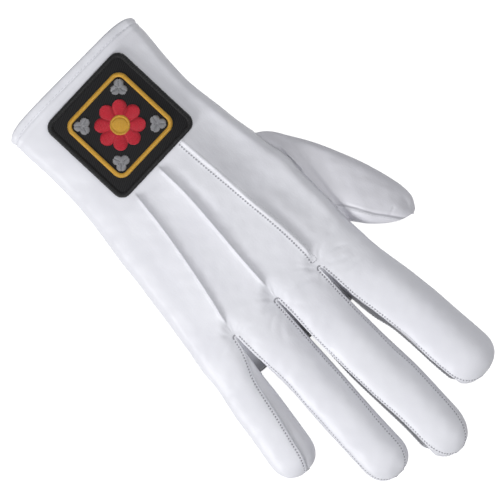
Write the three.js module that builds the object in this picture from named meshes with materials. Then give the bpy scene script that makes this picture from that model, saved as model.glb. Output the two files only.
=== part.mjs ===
// A white leather parade glove for the right hand, lying palm down and lightly filled.
// Lengths are in millimetres. +Y runs from the cuff edge to the fingertips, the thumb
// is on the -X side, and +Z points up from the surface that the palm rests on.
import * as THREE from "three";

// Driving sizes of the hand
const HAND_LENGTH = 147; // cuff edge to the roots of the fingers, on the back
const KNUCKLE_WIDTH = 99.6;
const HAND_HEIGHT = 23;
const SIDE_HEIGHT = 10.5; // height of the widest line of the hand's sides
const PALM_SLIT_SETBACK = 21; // how much further on the finger slits start on the palm
const SLIT_HEIGHT = 16; // height of the back's leather where a finger slit starts
const SLIT_WIDTH = 1.6; // gap between two fingers at the root
const SLIT_DIP = 17; // how far before a slit the back starts to dip into it
const SLIT_DIP_START = 2.5; // half width of that dip where it starts
const SLIT_DIP_END = 5.5; // and at the slit
const UNDER_TURN = 9; // how far the back leather turns under the side edges
const CUFF_CORNER = 3.4; // rounding of the cuff edge towards its two sides

// Driving sizes of the leather
const WALL = 1.2;
const HEM_WALL = 2.2; // leather turned in and doubled at the cuff edge
const HEM_DEPTH = 7;
const SEAM_GAP = 0.3;
const POINT_HEIGHT = 1.5; // the raised points on the back
const POINT_WIDTH = 2.4;
const POINT_GROOVE = 0.35; // groove along the thumb side of each point
const POINT_START = 62; // distance from the cuff edge
const POINT_TAPER = 5;

// Driving sizes of the thumb
const THUMB_ROOT = 82; // distance from the cuff edge to the near end of its root
const THUMB_LENGTH = 80;
const THUMB_SPREAD = 30.5; // how far it reaches out past the side of the hand
const THUMB_HEIGHT = 15;
const THUMB_ROOT_SHARE = 0.765; // share of its length that is sewn to the hand's side

// Driving sizes of the patch
const PATCH_SIDE = 50.8;
const PATCH_CORNER = 5;
const PATCH_THICKNESS = 1.2;
const PATCH_FROM_CUFF = 35.2; // cuff edge to the patch's middle
const PATCH_ASIDE = -1.5; // from the middle point of the back to the patch's middle
const PATCH_TURN = 1.5; // degrees, against the clock
const EDGING_WIDTH = 2.2;
const EDGING_HEIGHT = 2;
const MOTIF_HEIGHT = 0.7; // embroidery above the twill
const FRAME_SIDE = 37.5;
const FRAME_WIDTH = 1.7;
const ROSETTE_RADIUS = 12.2;
const BOSS_RADIUS = 4.3;
const PETALS = 8;
const PETAL_NOTCH = 0.28; // depth of the notch between two petals, share of the radius
const PETAL_POWER = 0.6;
const SPRIG_LENGTH = 8.6;
const SPRIG_LEAVES = 3;
const SPRIG_REACH = 17.5; // from the patch's middle to the middle of a sprig
const CLOTH_GAP = 0.4;

// Side edges of the hand: shares of HAND_LENGTH along, shares of KNUCKLE_WIDTH across
const HAND_EDGE = [
  { along: 0.0, left: -0.412, right: 0.408, height: 0.76 },
  { along: 0.08, left: -0.406, right: 0.402, height: 0.79 },
  { along: 0.18, left: -0.391, right: 0.4, height: 0.84 },
  { along: 0.28, left: -0.382, right: 0.402, height: 0.89 },
  { along: 0.38, left: -0.393, right: 0.412, height: 0.94 },
  { along: 0.48, left: -0.412, right: 0.435, height: 0.98 },
  { along: 0.57, left: -0.434, right: 0.453, height: 1.0 },
  { along: 0.65, left: -0.444, right: 0.469, height: 1.0 },
  { along: 0.77, left: -0.443, right: 0.496, height: 0.99 },
  { along: 0.89, left: -0.441, right: 0.524, height: 0.94 },
  { along: 1.0, left: -0.446, right: 0.552, height: 0.86 },
  { along: 1.2, left: -0.46, right: 0.575, height: 0.75 },
];

// The three lines that run into the finger slits: shares of KNUCKLE_WIDTH across on the
// back (the raised points) and on the palm
const SLIT_LINES = [
  { along: 0.0, back: [-0.135, 0.004, 0.125], palm: [-0.13, 0.004, 0.13] },
  { along: 0.42, back: [-0.154, 0.007, 0.173], palm: [-0.15, 0.01, 0.17] },
  { along: 0.54, back: [-0.165, 0.007, 0.19], palm: [-0.16, 0.016, 0.2] },
  { along: 0.68, back: [-0.18, 0.018, 0.222], palm: [-0.168, 0.028, 0.235] },
  { along: 0.82, back: [-0.196, 0.036, 0.264], palm: [-0.176, 0.045, 0.275] },
  { along: 0.93, back: [-0.2, 0.049, 0.305], palm: [-0.18, 0.058, 0.305] },
  { along: 1.0, back: [-0.192, 0.062, 0.324], palm: [-0.182, 0.066, 0.322] },
  { along: 1.17, back: [-0.183, 0.071, 0.341], palm: [-0.183, 0.071, 0.341] },
];

// Where the back and the palm end, across the hand: shares of HAND_LENGTH and of
// PALM_SLIT_SETBACK past the back's end
const ROOT_LINE = [
  { across: -0.45, back: 1.02, setback: 0.95 },
  { across: -0.19, back: 1.014, setback: 1.0 },
  { across: 0.066, back: 0.988, setback: 1.12 },
  { across: 0.33, back: 0.977, setback: 0.96 },
  { across: 0.56, back: 0.985, setback: 0.9 },
];
const PALM_SLITS = [
  { name: "index_middle", width: 1.6 },
  { name: "middle_ring", width: 1.6 },
  { name: "ring_little", width: 4.2 },
];

// Fingers: own sizes, root place as shares of KNUCKLE_WIDTH and HAND_LENGTH
const FINGERS = [
  { name: "index", root: -0.323, rise: 1.0, length: 92.3, lean: -4, width: 27.2, height: 15.5, tip: 13 },
  { name: "middle", root: -0.062, rise: 1.0, length: 109.0, lean: 0.9, width: 25.6, height: 16, tip: 16.5 },
  { name: "ring", root: 0.196, rise: 0.993, length: 97.9, lean: 2.5, width: 23.8, height: 15.5, tip: 13 },
  { name: "little", root: 0.437, rise: 0.993, length: 66.4, lean: 9.5, width: 23, height: 14.5, tip: 12.5 },
];

// Half widths of each finger and how far its seams lie in from its sides: shares of its
// width, against shares of its length. An outer side has no seam on the back.
const FINGER_SHAPE = {
  index: [
    { along: 0.0, left: 0.465, right: 0.467, seamLeft: 0, seamRight: 0.03 },
    { along: 0.2, left: 0.486, right: 0.56, seamLeft: 0, seamRight: 0.1 },
    { along: 0.38, left: 0.503, right: 0.535, seamLeft: 0, seamRight: 0.12 },
    { along: 0.52, left: 0.508, right: 0.49, seamLeft: 0, seamRight: 0.06 },
    { along: 0.78, left: 0.504, right: 0.505, seamLeft: 0, seamRight: 0.055 },
    { along: 1.0, left: 0.5, right: 0.5, seamLeft: 0, seamRight: 0.1 },
  ],
  middle: [
    { along: 0.0, left: 0.457, right: 0.457, seamLeft: 0.03, seamRight: 0.03 },
    { along: 0.2, left: 0.477, right: 0.525, seamLeft: 0.03, seamRight: 0.04 },
    { along: 0.4, left: 0.49, right: 0.52, seamLeft: 0.025, seamRight: 0.05 },
    { along: 0.6, left: 0.523, right: 0.5, seamLeft: 0.025, seamRight: 0.09 },
    { along: 0.8, left: 0.504, right: 0.473, seamLeft: 0.03, seamRight: 0.11 },
    { along: 1.0, left: 0.47, right: 0.51, seamLeft: 0.06, seamRight: 0.14 },
  ],
  ring: [
    { along: 0.0, left: 0.52, right: 0.504, seamLeft: 0.03, seamRight: 0.03 },
    { along: 0.2, left: 0.53, right: 0.46, seamLeft: 0.035, seamRight: 0.04 },
    { along: 0.36, left: 0.535, right: 0.455, seamLeft: 0.025, seamRight: 0.05 },
    { along: 0.6, left: 0.504, right: 0.49, seamLeft: 0.03, seamRight: 0.03 },
    { along: 0.8, left: 0.496, right: 0.5, seamLeft: 0.06, seamRight: 0.025 },
    { along: 1.0, left: 0.5, right: 0.5, seamLeft: 0.09, seamRight: 0.05 },
  ],
  little: [
    { along: 0.0, left: 0.45, right: 0.491, seamLeft: 0.035, seamRight: 0 },
    { along: 0.2, left: 0.465, right: 0.496, seamLeft: 0.15, seamRight: 0 },
    { along: 0.4, left: 0.49, right: 0.5, seamLeft: 0.23, seamRight: 0 },
    { along: 0.6, left: 0.5, right: 0.5, seamLeft: 0.28, seamRight: 0 },
    { along: 0.8, left: 0.504, right: 0.5, seamLeft: 0.33, seamRight: 0 },
    { along: 1.0, left: 0.5, right: 0.5, seamLeft: 0.37, seamRight: 0 },
  ],
};

// Thumb sections from the root to the closing seam at the tip. Out is the share of
// THUMB_SPREAD past the hand's side, on is the share of THUMB_LENGTH past the near end
// of the root, height is a share of THUMB_HEIGHT, and lift is a share of the height of
// its widest line.
const THUMB_SECTIONS = [
  { outerOut: 0.145, outerOn: 0.066, innerOut: 0.05, innerOn: 0.788, height: 0.74, lift: 0 },
  { outerOut: 0.275, outerOn: 0.145, innerOut: 0.1, innerOn: 0.815, height: 0.86, lift: 0 },
  { outerOut: 0.46, outerOn: 0.27, innerOut: 0.16, innerOn: 0.846, height: 0.95, lift: 0 },
  { outerOut: 0.615, outerOn: 0.4, innerOut: 0.23, innerOn: 0.876, height: 1.0, lift: 0 },
  { outerOut: 0.74, outerOn: 0.52, innerOut: 0.31, innerOn: 0.906, height: 1.0, lift: 0 },
  { outerOut: 0.835, outerOn: 0.63, innerOut: 0.4, innerOn: 0.936, height: 0.98, lift: 0.02 },
  { outerOut: 0.915, outerOn: 0.74, innerOut: 0.5, innerOn: 0.961, height: 0.93, lift: 0.07 },
  { outerOut: 0.965, outerOn: 0.845, innerOut: 0.59, innerOn: 0.981, height: 0.82, lift: 0.18 },
  { outerOut: 0.96, outerOn: 0.925, innerOut: 0.67, innerOn: 0.994, height: 0.64, lift: 0.36 },
  { outerOut: 0.895, outerOn: 0.975, innerOut: 0.745, innerOn: 1.0, height: 0.4, lift: 0.6 },
  { outerOut: 0.86, outerOn: 0.995, innerOut: 0.77, innerOn: 1.01, height: 0, lift: 1 },
];

// Soft dents and rolls of the back of the hand: middle and spread as shares of
// KNUCKLE_WIDTH across and HAND_LENGTH along, depth as a share of HAND_HEIGHT
const BACK_DENTS = [
  { across: -0.25, along: 0.54, wide: 0.09, long: 0.17, depth: 0.06 },
  { across: -0.315, along: 0.62, wide: 0.065, long: 0.34, depth: 0.05 },
  { across: -0.235, along: 0.85, wide: 0.035, long: 0.13, depth: 0.07 },
  { across: -0.03, along: 0.56, wide: 0.03, long: 0.1, depth: 0.035 },
  { across: 0.13, along: 1.06, wide: 0.04, long: 0.05, depth: 0.05 },
];

// Shape powers and shares of the sections
const HAND_TOP_POWER = 5;
const HAND_UNDER_POWER = 6;
const HAND_CROWN = 0.2; // fall of the back from the middle to the sides
const CUFF_SIDE = 0.85; // height of the hand's widest line at the cuff, share of SIDE_HEIGHT
const CUFF_CURVE_POWER = 9;
const CUFF_CURVE_REACH = 0.14; // share of the hand over which the rounded cuff edge fades
const FINGER_POWER = 2.35;
const UNDER_POWER = 2.8;
const TIP_POWER = 2.3;
const TIP_HEIGHT = 0.9; // height of a finger at its tip, share of its height
const TIP_SEAM = 0.24; // width of the closing seam at a fingertip, share of the finger
const WAIST = 0.43; // height of the widest line of a finger, share of its height
const PRESSED = 0.6; // how far the leather is pressed flat where it rests
const FREE_SHARE = 0.34; // share of a finger over which it leaves the hand's shape
const SIDE_SETBACK = 0.35; // share of the palm's setback that the hand's sides take
const PALM_SEAM_ANGLE = -48; // degrees below a finger's widest line
const THUMB_UNDER_ANGLE = -62;

// Fineness of the leather: columns over a finger's back, columns down its side, and rows
const STRIP = 6;
const SIDE = 3;
const UNDER_TURNS = [0.16, 0.5, 1]; // places of the columns under the hand's side edges
const HAND_ROWS = [0, 0.047, 0.051, 0.14, 0.23, 0.32, 0.41];
const THUMB_ROWS = 6; // rows of the hand along the thumb's root
const LAST_ROWS = [0.95, 1];
const FINGER_ROWS = [0.09, 0.2, 0.34, 0.5, 0.66, 0.82];
const TIP_ANGLES = [0, 32, 56, 76];

// Fineness of the patch
const SQUARE_STEPS = 5;
const CORNER_STEPS = 5;
const TWILL_RINGS = 5;
const PETAL_STEPS = 6;
const BOSS_STEPS = 16;
const SPRIG_STEPS = 18;

const RAD = Math.PI / 180;
const mix = (a, b, share) => a + (b - a) * share;
const clamp = (x, low, high) => Math.min(high, Math.max(low, x));
const smooth = (x) => clamp(x, 0, 1) ** 2 * (3 - 2 * clamp(x, 0, 1));
const bell = (x) => Math.exp(-x * x);
const signedPower = (x, power) => Math.sign(x) * Math.abs(x) ** power;
const steps = (count) => Array.from({ length: count + 1 }, (_, i) => i / count);

// Smooth curve through a table's rows, read at a value of its key column
function read(table, key, at, value) {
  const xs = table.map((row) => row[key]);
  const last = table.length - 1;
  const x = clamp(at, xs[0], xs[last]);
  let i = 0;
  while (i < last - 1 && x > xs[i + 1]) i += 1;
  const slope = (k) => {
    const a = Math.max(0, k - 1);
    const b = Math.min(last, k + 1);
    return (value(table[b]) - value(table[a])) / (xs[b] - xs[a]);
  };
  const span = xs[i + 1] - xs[i];
  const t = (x - xs[i]) / span;
  const lean = t * (1 - t) * span * ((1 - t) * slope(i) - t * slope(i + 1));
  return mix(value(table[i]), value(table[i + 1]), smooth(t)) + lean;
}

const handEdge = (y, value) => read(HAND_EDGE, "along", y / HAND_LENGTH, value);
const handLeft = (y) => KNUCKLE_WIDTH * handEdge(y, (row) => row.left);
const handRight = (y) => KNUCKLE_WIDTH * handEdge(y, (row) => row.right);
const handHeight = (y) => HAND_HEIGHT * handEdge(y, (row) => row.height);
const sideHeight = (y) => SIDE_HEIGHT * mix(CUFF_SIDE, 1, smooth((2 * y) / HAND_LENGTH));
const slitLine = (y, value) => KNUCKLE_WIDTH * read(SLIT_LINES, "along", y / HAND_LENGTH, value);
const backLine = (k, y) => slitLine(y, (row) => row.back[k]);
const palmLine = (k, y) => slitLine(y, (row) => row.palm[k]);
const rootLine = (x, value) => read(ROOT_LINE, "across", x / KNUCKLE_WIDTH, value);
const backEnd = (x) => HAND_LENGTH * rootLine(x, (row) => row.back);
const palmEnd = (x) => backEnd(x) + PALM_SLIT_SETBACK * rootLine(x, (row) => row.setback);

// Share across the hand, from -1 at its left side to 1 at its right
function acrossHand(x, y) {
  const middle = (handLeft(y) + handRight(y)) / 2;
  const half = (handRight(y) - handLeft(y)) / 2;
  return clamp((x - middle) / half, -1, 1);
}

function backHeight(x, y) {
  const u = Math.abs(acrossHand(x, y));
  const arch = Math.sqrt(1 - u ** HAND_TOP_POWER);
  let z = mix(sideHeight(y), handHeight(y), arch * (1 - HAND_CROWN * u * u));
  for (const dent of BACK_DENTS) {
    const across = (x / KNUCKLE_WIDTH - dent.across) / dent.wide;
    const along = (y / HAND_LENGTH - dent.along) / dent.long;
    z -= HAND_HEIGHT * dent.depth * bell(across) * bell(along) * arch;
  }
  PALM_SLITS.forEach((_, k) => {
    const start = backEnd(backLine(k, HAND_LENGTH)) - SLIT_DIP;
    const near = smooth((y - start) / SLIT_DIP);
    const aside = (x - backLine(k, y)) / mix(SLIT_DIP_START, SLIT_DIP_END, near);
    z = mix(z, Math.min(z, SLIT_HEIGHT), near * bell(aside));
  });
  return z;
}

function palmHeight(x, y) {
  const u = Math.abs(acrossHand(x, y));
  const rise = 1 - Math.sqrt(1 - u ** HAND_UNDER_POWER);
  return Math.max(0, (sideHeight(y) + PRESSED) * rise - PRESSED);
}

// Share of a raised point's full height, and of its groove's depth, along the hand
function pointRise(y) {
  const start = smooth((y - POINT_START) / POINT_TAPER);
  return start * smooth((HAND_LENGTH - y) / POINT_TAPER - 1);
}

// The glove's outside as one mesh of shared places, from which each piece of leather is
// cut. A place has its base position, the relief outside it and the wall inside it.
class Skin {
  constructor() {
    this.places = [];
    this.faces = [];
  }

  add(at, wall = WALL, relief = 0) {
    this.places.push({ at: new THREE.Vector3(at.x, at.y, at.z), wall, relief });
    return this.places.length - 1;
  }

  triangle(piece, a, b, c) {
    if (a !== b && b !== c && c !== a) this.faces.push({ piece, corners: [a, b, c] });
  }

  quad(piece, a, b, c, d) {
    this.triangle(piece, a, b, c);
    this.triangle(piece, a, c, d);
  }

  // Faces between two closed rings of places. pieceOf names each column's piece, or
  // null where there is none.
  band(lower, upper, pieceOf) {
    lower.forEach((place, k) => {
      const next = (k + 1) % lower.length;
      const piece = pieceOf(k);
      if (piece) this.quad(piece, place, lower[next], upper[next], upper[k]);
    });
  }

  normals() {
    const sums = this.places.map(() => new THREE.Vector3());
    for (const { corners } of this.faces) {
      const [a, b, c] = corners.map((i) => this.places[i].at);
      const area = b.clone().sub(a).cross(c.clone().sub(a));
      corners.forEach((i) => sums[i].add(area));
    }
    return sums.map((sum) => sum.normalize());
  }
}

// Edges of a set of faces that only one of them has
function rimOf(faces) {
  const edges = new Map();
  for (const { corners } of faces) {
    corners.forEach((from, i) => {
      const to = corners[(i + 1) % 3];
      edges.set(`${from}_${to}`, [from, to]);
    });
  }
  return [...edges.values()].filter(([from, to]) => !edges.has(`${to}_${from}`));
}

// Closed solid of one piece of a skin: its outside, its inside and its cut edges, which
// stand back from the neighbouring piece so that the seam keeps its gap
function cutPiece(skin, normals, piece) {
  const faces = skin.faces.filter((face) => face.piece === piece);
  const rim = rimOf(faces);
  const inward = new Map();
  for (const [from, to] of rim) {
    const along = skin.places[to].at.clone().sub(skin.places[from].at);
    for (const i of [from, to]) {
      if (!inward.has(i)) inward.set(i, new THREE.Vector3());
      inward.get(i).add(normals[i].clone().cross(along).normalize());
    }
  }
  const numbers = new Map();
  const points = [];
  const number = (i, inside) => {
    const key = `${i}_${inside}`;
    if (!numbers.has(key)) {
      numbers.set(key, points.length / 3);
      const { at, wall, relief } = skin.places[i];
      const place = at.clone().addScaledVector(normals[i], inside ? -wall : relief);
      if (inward.has(i)) place.addScaledVector(inward.get(i).normalize(), SEAM_GAP * Math.SQRT1_2);
      points.push(place.x, place.y, Math.max(0, place.z));
    }
    return numbers.get(key);
  };
  const triangles = [];
  for (const { corners } of faces) {
    const [a, b, c] = corners;
    triangles.push(number(a, false), number(b, false), number(c, false));
    triangles.push(number(a, true), number(c, true), number(b, true));
  }
  for (const [from, to] of rim) {
    triangles.push(number(to, false), number(from, false), number(from, true));
    triangles.push(number(to, false), number(from, true), number(to, true));
  }
  const geometry = new THREE.BufferGeometry();
  geometry.setAttribute("position", new THREE.Float32BufferAttribute(points, 3));
  geometry.setIndex(triangles);
  geometry.computeVertexNormals();
  return geometry;
}

const skin = new Skin();
const LAST_FINGER = FINGERS.length - 1;
const fourchetteOf = (k) => `fourchette_${PALM_SLITS[k].name}`;

// Columns across a finger's strip. An outer finger's crowd towards the hand's side.
function stripShares(f) {
  return steps(STRIP).map((t) => {
    if (f === 0) return (1 + t - Math.sin(((1 - t) * Math.PI) / 2)) / 2;
    if (f === LAST_FINGER) return (t + Math.sin((t * Math.PI) / 2)) / 2;
    return t;
  });
}

// One row of the hand, at a share of the way from the cuff edge to the finger roots:
// the back's strips with a raised point between each two, the columns that turn under
// the side edges, and the palm's strips
function handRow(share) {
  const wall = share * HAND_LENGTH < HEM_DEPTH ? HEM_WALL : WALL;
  const fade = 1 - smooth(share / CUFF_CURVE_REACH);
  const cuffCurve = (x) => CUFF_CORNER * fade * Math.abs(acrossHand(x, 0)) ** CUFF_CURVE_POWER;
  const onBack = (x, relief = 0) => {
    const y = share * backEnd(x) + cuffCurve(x);
    return skin.add({ x, y, z: backHeight(x, y) }, wall, relief);
  };
  const onPalm = (x) => {
    const y = share * palmEnd(x) + cuffCurve(x);
    return skin.add({ x, y, z: palmHeight(x, y) }, wall);
  };
  const onSide = (edge, towards, turn) => {
    const at = edge(share * HAND_LENGTH);
    const y = share * mix(backEnd(at), palmEnd(at), mix(SIDE_SETBACK, 1, turn)) + cuffCurve(at);
    const x = edge(y) + towards * UNDER_TURN * turn;
    return skin.add({ x, y, z: turn > 0 ? palmHeight(x, y) : sideHeight(y) }, wall);
  };
  const backX = (k) => backLine(k, share * backEnd(backLine(k, share * HAND_LENGTH)));
  const palmX = (k) => palmLine(k, share * palmEnd(palmLine(k, share * HAND_LENGTH)));
  const rise = pointRise(share * HAND_LENGTH);
  const backHalf = mix(POINT_WIDTH, SLIT_WIDTH, smooth(share * 10 - 9)) / 2;
  const palmHalf = (k) => mix(POINT_WIDTH, PALM_SLITS[k].width, share) / 2;
  const sides = [[handLeft, 1], [handRight, -1]].map(([edge, towards]) => ({
    waist: onSide(edge, towards, 0),
    under: UNDER_TURNS.map((turn) => onSide(edge, towards, turn)),
  }));


  const backs = FINGERS.map((_, f) => {
    const left = f === 0 ? handLeft(share * HAND_LENGTH) : backX(f - 1) + backHalf;
    const right = f === LAST_FINGER ? handRight(share * HAND_LENGTH) : backX(f) - backHalf;
    return stripShares(f).map((t, j) => {
      if (f === 0 && j === 0) return sides[0].waist;
      if (f === LAST_FINGER && j === STRIP) return sides[1].waist;
      const groove = j === STRIP ? -POINT_GROOVE * rise : 0;
      return onBack(mix(left, right, t), groove);
    });
  });
  const [palmLeft, palmRight] = sides.map(({ under }) => under[SIDE - 1]);
  const xOf = (place) => skin.places[place].at.x;
  const palms = FINGERS.map((_, f) => {
    const left = f === 0 ? xOf(palmLeft) : palmX(f - 1) + palmHalf(f - 1);
    const right = f === LAST_FINGER ? xOf(palmRight) : palmX(f) - palmHalf(f);
    return steps(STRIP).map((t, j) => {
      if (f === 0 && j === 0) return palmLeft;
      if (f === LAST_FINGER && j === STRIP) return palmRight;
      return onPalm(mix(left, right, t));
    });
  });
  const backPoints = PALM_SLITS.map((_, k) => onBack(backX(k), POINT_HEIGHT * rise));
  const palmPoints = PALM_SLITS.map((_, k) => onPalm(palmX(k)));
  return { backs, palms, backPoints, palmPoints, sides };
}

// The ring of a hand row: over the back from the thumb's side, and back under the palm
function handRing({ backs, palms, backPoints, palmPoints, sides }) {
  const join = (strips, between) => strips.flatMap((strip, f) => [...strip, ...between.slice(f, f + 1)]);
  return [
    ...join(backs, backPoints),
    ...sides[1].under.slice(0, SIDE - 1),
    ...join(palms, palmPoints).reverse(),
    ...sides[0].under.slice(0, SIDE - 1).reverse(),
  ];
}

// Rows of the hand, with a hole for the thumb between two of them
const sideEnd = mix(backEnd(handLeft(HAND_LENGTH)), palmEnd(handLeft(HAND_LENGTH)), SIDE_SETBACK);
const thumbRoot = THUMB_LENGTH * THUMB_ROOT_SHARE;
const thumbHole = steps(THUMB_ROWS).map((t) => (THUMB_ROOT + thumbRoot * t) / sideEnd);
const handRows = [...HAND_ROWS, ...thumbHole, ...LAST_ROWS].map(handRow);
const overCount = FINGERS.length * (STRIP + 1) + PALM_SLITS.length;
handRows.slice(1).forEach((row, r) => {
  const beside = r >= HAND_ROWS.length && r < HAND_ROWS.length + THUMB_ROWS;
  skin.band(handRing(handRows[r]), handRing(row), (k) => {
    if (k < overCount - 1 + SIDE) return "back_panel";
    if (k < 2 * overCount + SIDE - 2) return "palm_panel";
    return beside ? null : "back_panel";
  });
});
const rootRow = handRows[handRows.length - 1];

// A finger's section: share of its half width across, and height, at an angle round it
function section(angle, height) {
  const power = angle >= 0 ? FINGER_POWER : UNDER_POWER;
  const waist = WAIST * height;
  const across = signedPower(Math.cos(angle * RAD), 2 / power);
  const sine = signedPower(Math.sin(angle * RAD), 2 / power);
  return { across, up: waist + (sine > 0 ? height - waist : waist + PRESSED) * sine };
}

// Angles of a ring's columns: over the back from its left edge to its right, down the
// right side, under the palm, and up the left side
function ringAngles(left, right, under, towardsLeft = left - 360) {
  return [
    ...steps(STRIP).map((t) => mix(left, right, t)),
    ...steps(SIDE).slice(1, -1).map((t) => mix(right, under, t)),
    ...steps(STRIP).map((t) => mix(under, -180 - under, t)),
    ...steps(SIDE).slice(1, -1).map((t) => mix(-180 - under, towardsLeft, t)),
  ].map((angle) => (angle < -180 ? angle + 360 : angle));
}

const seamAngle = (inset, half) => Math.acos(clamp(1 - inset / half, 0, 1) ** (FINGER_POWER / 2)) / RAD;

// Place on a finger at a distance along it, from a section's share across and height
function fingerPlace(finger, along, across, up) {
  const column = across > 0 ? "right" : "left";
  const half = read(FINGER_SHAPE[finger.name], "along", along / finger.length, (row) => row[column]);
  const toTip = clamp(1 - (finger.length - along) / finger.tip, 0, 1);
  const round = (1 - toTip ** TIP_POWER) ** (1 / TIP_POWER);
  const offset = finger.width * half * Math.max(round, TIP_SEAM) * across;
  const lean = finger.lean * RAD;
  return new THREE.Vector3(
    finger.root * KNUCKLE_WIDTH + Math.sin(lean) * along + Math.cos(lean) * offset,
    finger.rise * HAND_LENGTH + Math.cos(lean) * along - Math.sin(lean) * offset,
    Math.max(0, mix(WAIST * TIP_HEIGHT * finger.height, up, round)),
  );
}

// Places from the back to the palm at the root of a slit, where a fourchette folds
function foldPlaces(top, under) {
  const from = skin.places[top].at;
  const to = skin.places[under].at;
  const between = steps(SIDE).slice(1, -1).map((t) => skin.add(from.clone().lerp(to, t)));
  return [top, ...between, under];
}
const folds = PALM_SLITS.map((_, k) => [
  foldPlaces(rootRow.backs[k][STRIP], rootRow.palms[k][STRIP]),
  foldPlaces(rootRow.backPoints[k], rootRow.palmPoints[k]),
  foldPlaces(rootRow.backs[k + 1][0], rootRow.palms[k + 1][0]),
]);
folds.forEach(([left, middle, right], k) => {
  for (let step = 0; step < SIDE; step += 1) {
    skin.quad(fourchetteOf(k), left[step + 1], left[step], middle[step], middle[step + 1]);
    skin.quad(fourchetteOf(k), middle[step + 1], middle[step], right[step], right[step + 1]);
  }
});

// Ends a tube in a seam across its tip, where the ring's sides close to points
function closeTip(ring, seam, pieceOf) {
  const right = Array(SIDE - 1).fill(seam[seam.length - 1]);
  const left = Array(SIDE - 1).fill(seam[0]);
  skin.band(ring, [...seam, ...right, ...[...seam].reverse(), ...left], pieceOf);
}

FINGERS.forEach((finger, f) => {
  const under = (side) => rootRow.sides[side].under.slice(0, SIDE - 1);
  const rightSide = f === LAST_FINGER ? under(1) : folds[f][0].slice(1, SIDE);
  const leftSide = f === 0 ? under(0) : folds[f - 1][2].slice(1, SIDE);
  let ring = [...rootRow.backs[f], ...rightSide, ...[...rootRow.palms[f]].reverse(), ...leftSide.reverse()];
  const axis = new THREE.Vector3(Math.sin(finger.lean * RAD), Math.cos(finger.lean * RAD), 0);
  const start = new THREE.Vector3(finger.root * KNUCKLE_WIDTH, finger.rise * HAND_LENGTH, 0);
  const roots = ring.map((i) => skin.places[i].at);
  const pieceOf = (k) => {
    if (k < STRIP) return "back_panel";
    if (k < STRIP + SIDE) return f === LAST_FINGER ? "back_panel" : fourchetteOf(f);
    if (k < 2 * STRIP + SIDE) return "palm_panel";
    return f === 0 ? "back_panel" : fourchetteOf(f - 1);
  };
  const tipShares = TIP_ANGLES.map((angle) => {
    const fromTip = finger.tip * (1 - Math.sin(angle * RAD) ** (2 / TIP_POWER));
    return 1 - fromTip / finger.length;
  });
  for (const share of [...FINGER_ROWS.map((row) => row * tipShares[0]), ...tipShares]) {
    const get = (column) => read(FINGER_SHAPE[finger.name], "along", share, (row) => row[column]);
    const left = 180 - seamAngle(get("seamLeft"), get("left"));
    const angles = ringAngles(left, seamAngle(get("seamRight"), get("right")), PALM_SEAM_ANGLE);
    const next = roots.map((root, k) => {
      const rootAlong = root.clone().sub(start).dot(axis);
      const along = mix(rootAlong, finger.length, share);
      const { across, up } = section(angles[k], finger.height * mix(1, TIP_HEIGHT, along / finger.length));
      const held = root.clone().addScaledVector(axis, along - rootAlong);
      return skin.add(held.lerp(fingerPlace(finger, along, across, up), smooth(share / FREE_SHARE)));
    });
    skin.band(ring, next, pieceOf);
    ring = next;
  }
  const middle = WAIST * TIP_HEIGHT * finger.height;
  const seam = steps(STRIP).map((t) => skin.add(fingerPlace(finger, finger.length, mix(-1, 1, t), middle)));
  closeTip(ring, seam, pieceOf);
});

// The thumb, a tube from the hole in the hand's side
function thumbTube() {
  const hole = handRows.slice(HAND_ROWS.length, HAND_ROWS.length + THUMB_ROWS + 1);
  const rootX = handLeft(THUMB_ROOT + thumbRoot / 2);
  const place = (row, end, z) => new THREE.Vector3(
    rootX - THUMB_SPREAD * row[`${end}Out`],
    THUMB_ROOT + THUMB_LENGTH * row[`${end}On`],
    z,
  );
  const between = (row, across, z) => place(row, "outer", z).lerp(place(row, "inner", z), (across + 1) / 2);
  let ring = [
    ...hole.map((row) => row.sides[0].waist),
    ...hole[THUMB_ROWS].sides[0].under.slice(0, SIDE - 1),
    ...hole.map((row) => row.sides[0].under[SIDE - 1]).reverse(),
    ...hole[0].sides[0].under.slice(0, SIDE - 1).reverse(),
  ];
  const angles = ringAngles(180, 0, THUMB_UNDER_ANGLE);
  const waist = WAIST * THUMB_HEIGHT;
  for (const row of THUMB_SECTIONS.slice(0, -1)) {
    const next = angles.map((angle) => {
      const { across, up } = section(angle, THUMB_HEIGHT * row.height);
      return skin.add(between(row, across, Math.max(0, up + waist * row.lift)));
    });
    skin.band(ring, next, () => "thumb");
    ring = next;
  }
  const last = THUMB_SECTIONS[THUMB_SECTIONS.length - 1];
  const seam = steps(THUMB_ROWS).map((t) => skin.add(between(last, mix(-1, 1, t), waist)));
  closeTip(ring, seam, () => "thumb");
}
thumbTube();

// Point of the hand's back under a place of the patch, across and along from its middle
function underPatch({ u, v }) {
  const turn = PATCH_TURN * RAD;
  const x = backLine(1, PATCH_FROM_CUFF) + PATCH_ASIDE + u * Math.cos(turn) - v * Math.sin(turn);
  const y = PATCH_FROM_CUFF + u * Math.sin(turn) + v * Math.cos(turn);
  return { x, y, z: backHeight(x, y) };
}

// Closed sheet that follows the back, between two heights above it, from rings of
// places that grow outwards. A middle place fills the innermost ring.
function patchSheet(rings, low, high, middle) {
  const sheet = new Skin();
  const add = (place) => {
    const at = underPatch(place);
    return sheet.add({ ...at, z: at.z + high }, high - low);
  };
  const placed = rings.map((ring) => ring.map(add));
  placed.slice(1).forEach((ring, r) => sheet.band(ring, placed[r], () => "sheet"));
  if (middle) {
    const centre = add(middle);
    placed[0].forEach((a, k) => sheet.triangle("sheet", centre, a, placed[0][(k + 1) % placed[0].length]));
  }
  return cutPiece(sheet, sheet.places.map(() => new THREE.Vector3(0, 0, 1)), "sheet");
}

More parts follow.
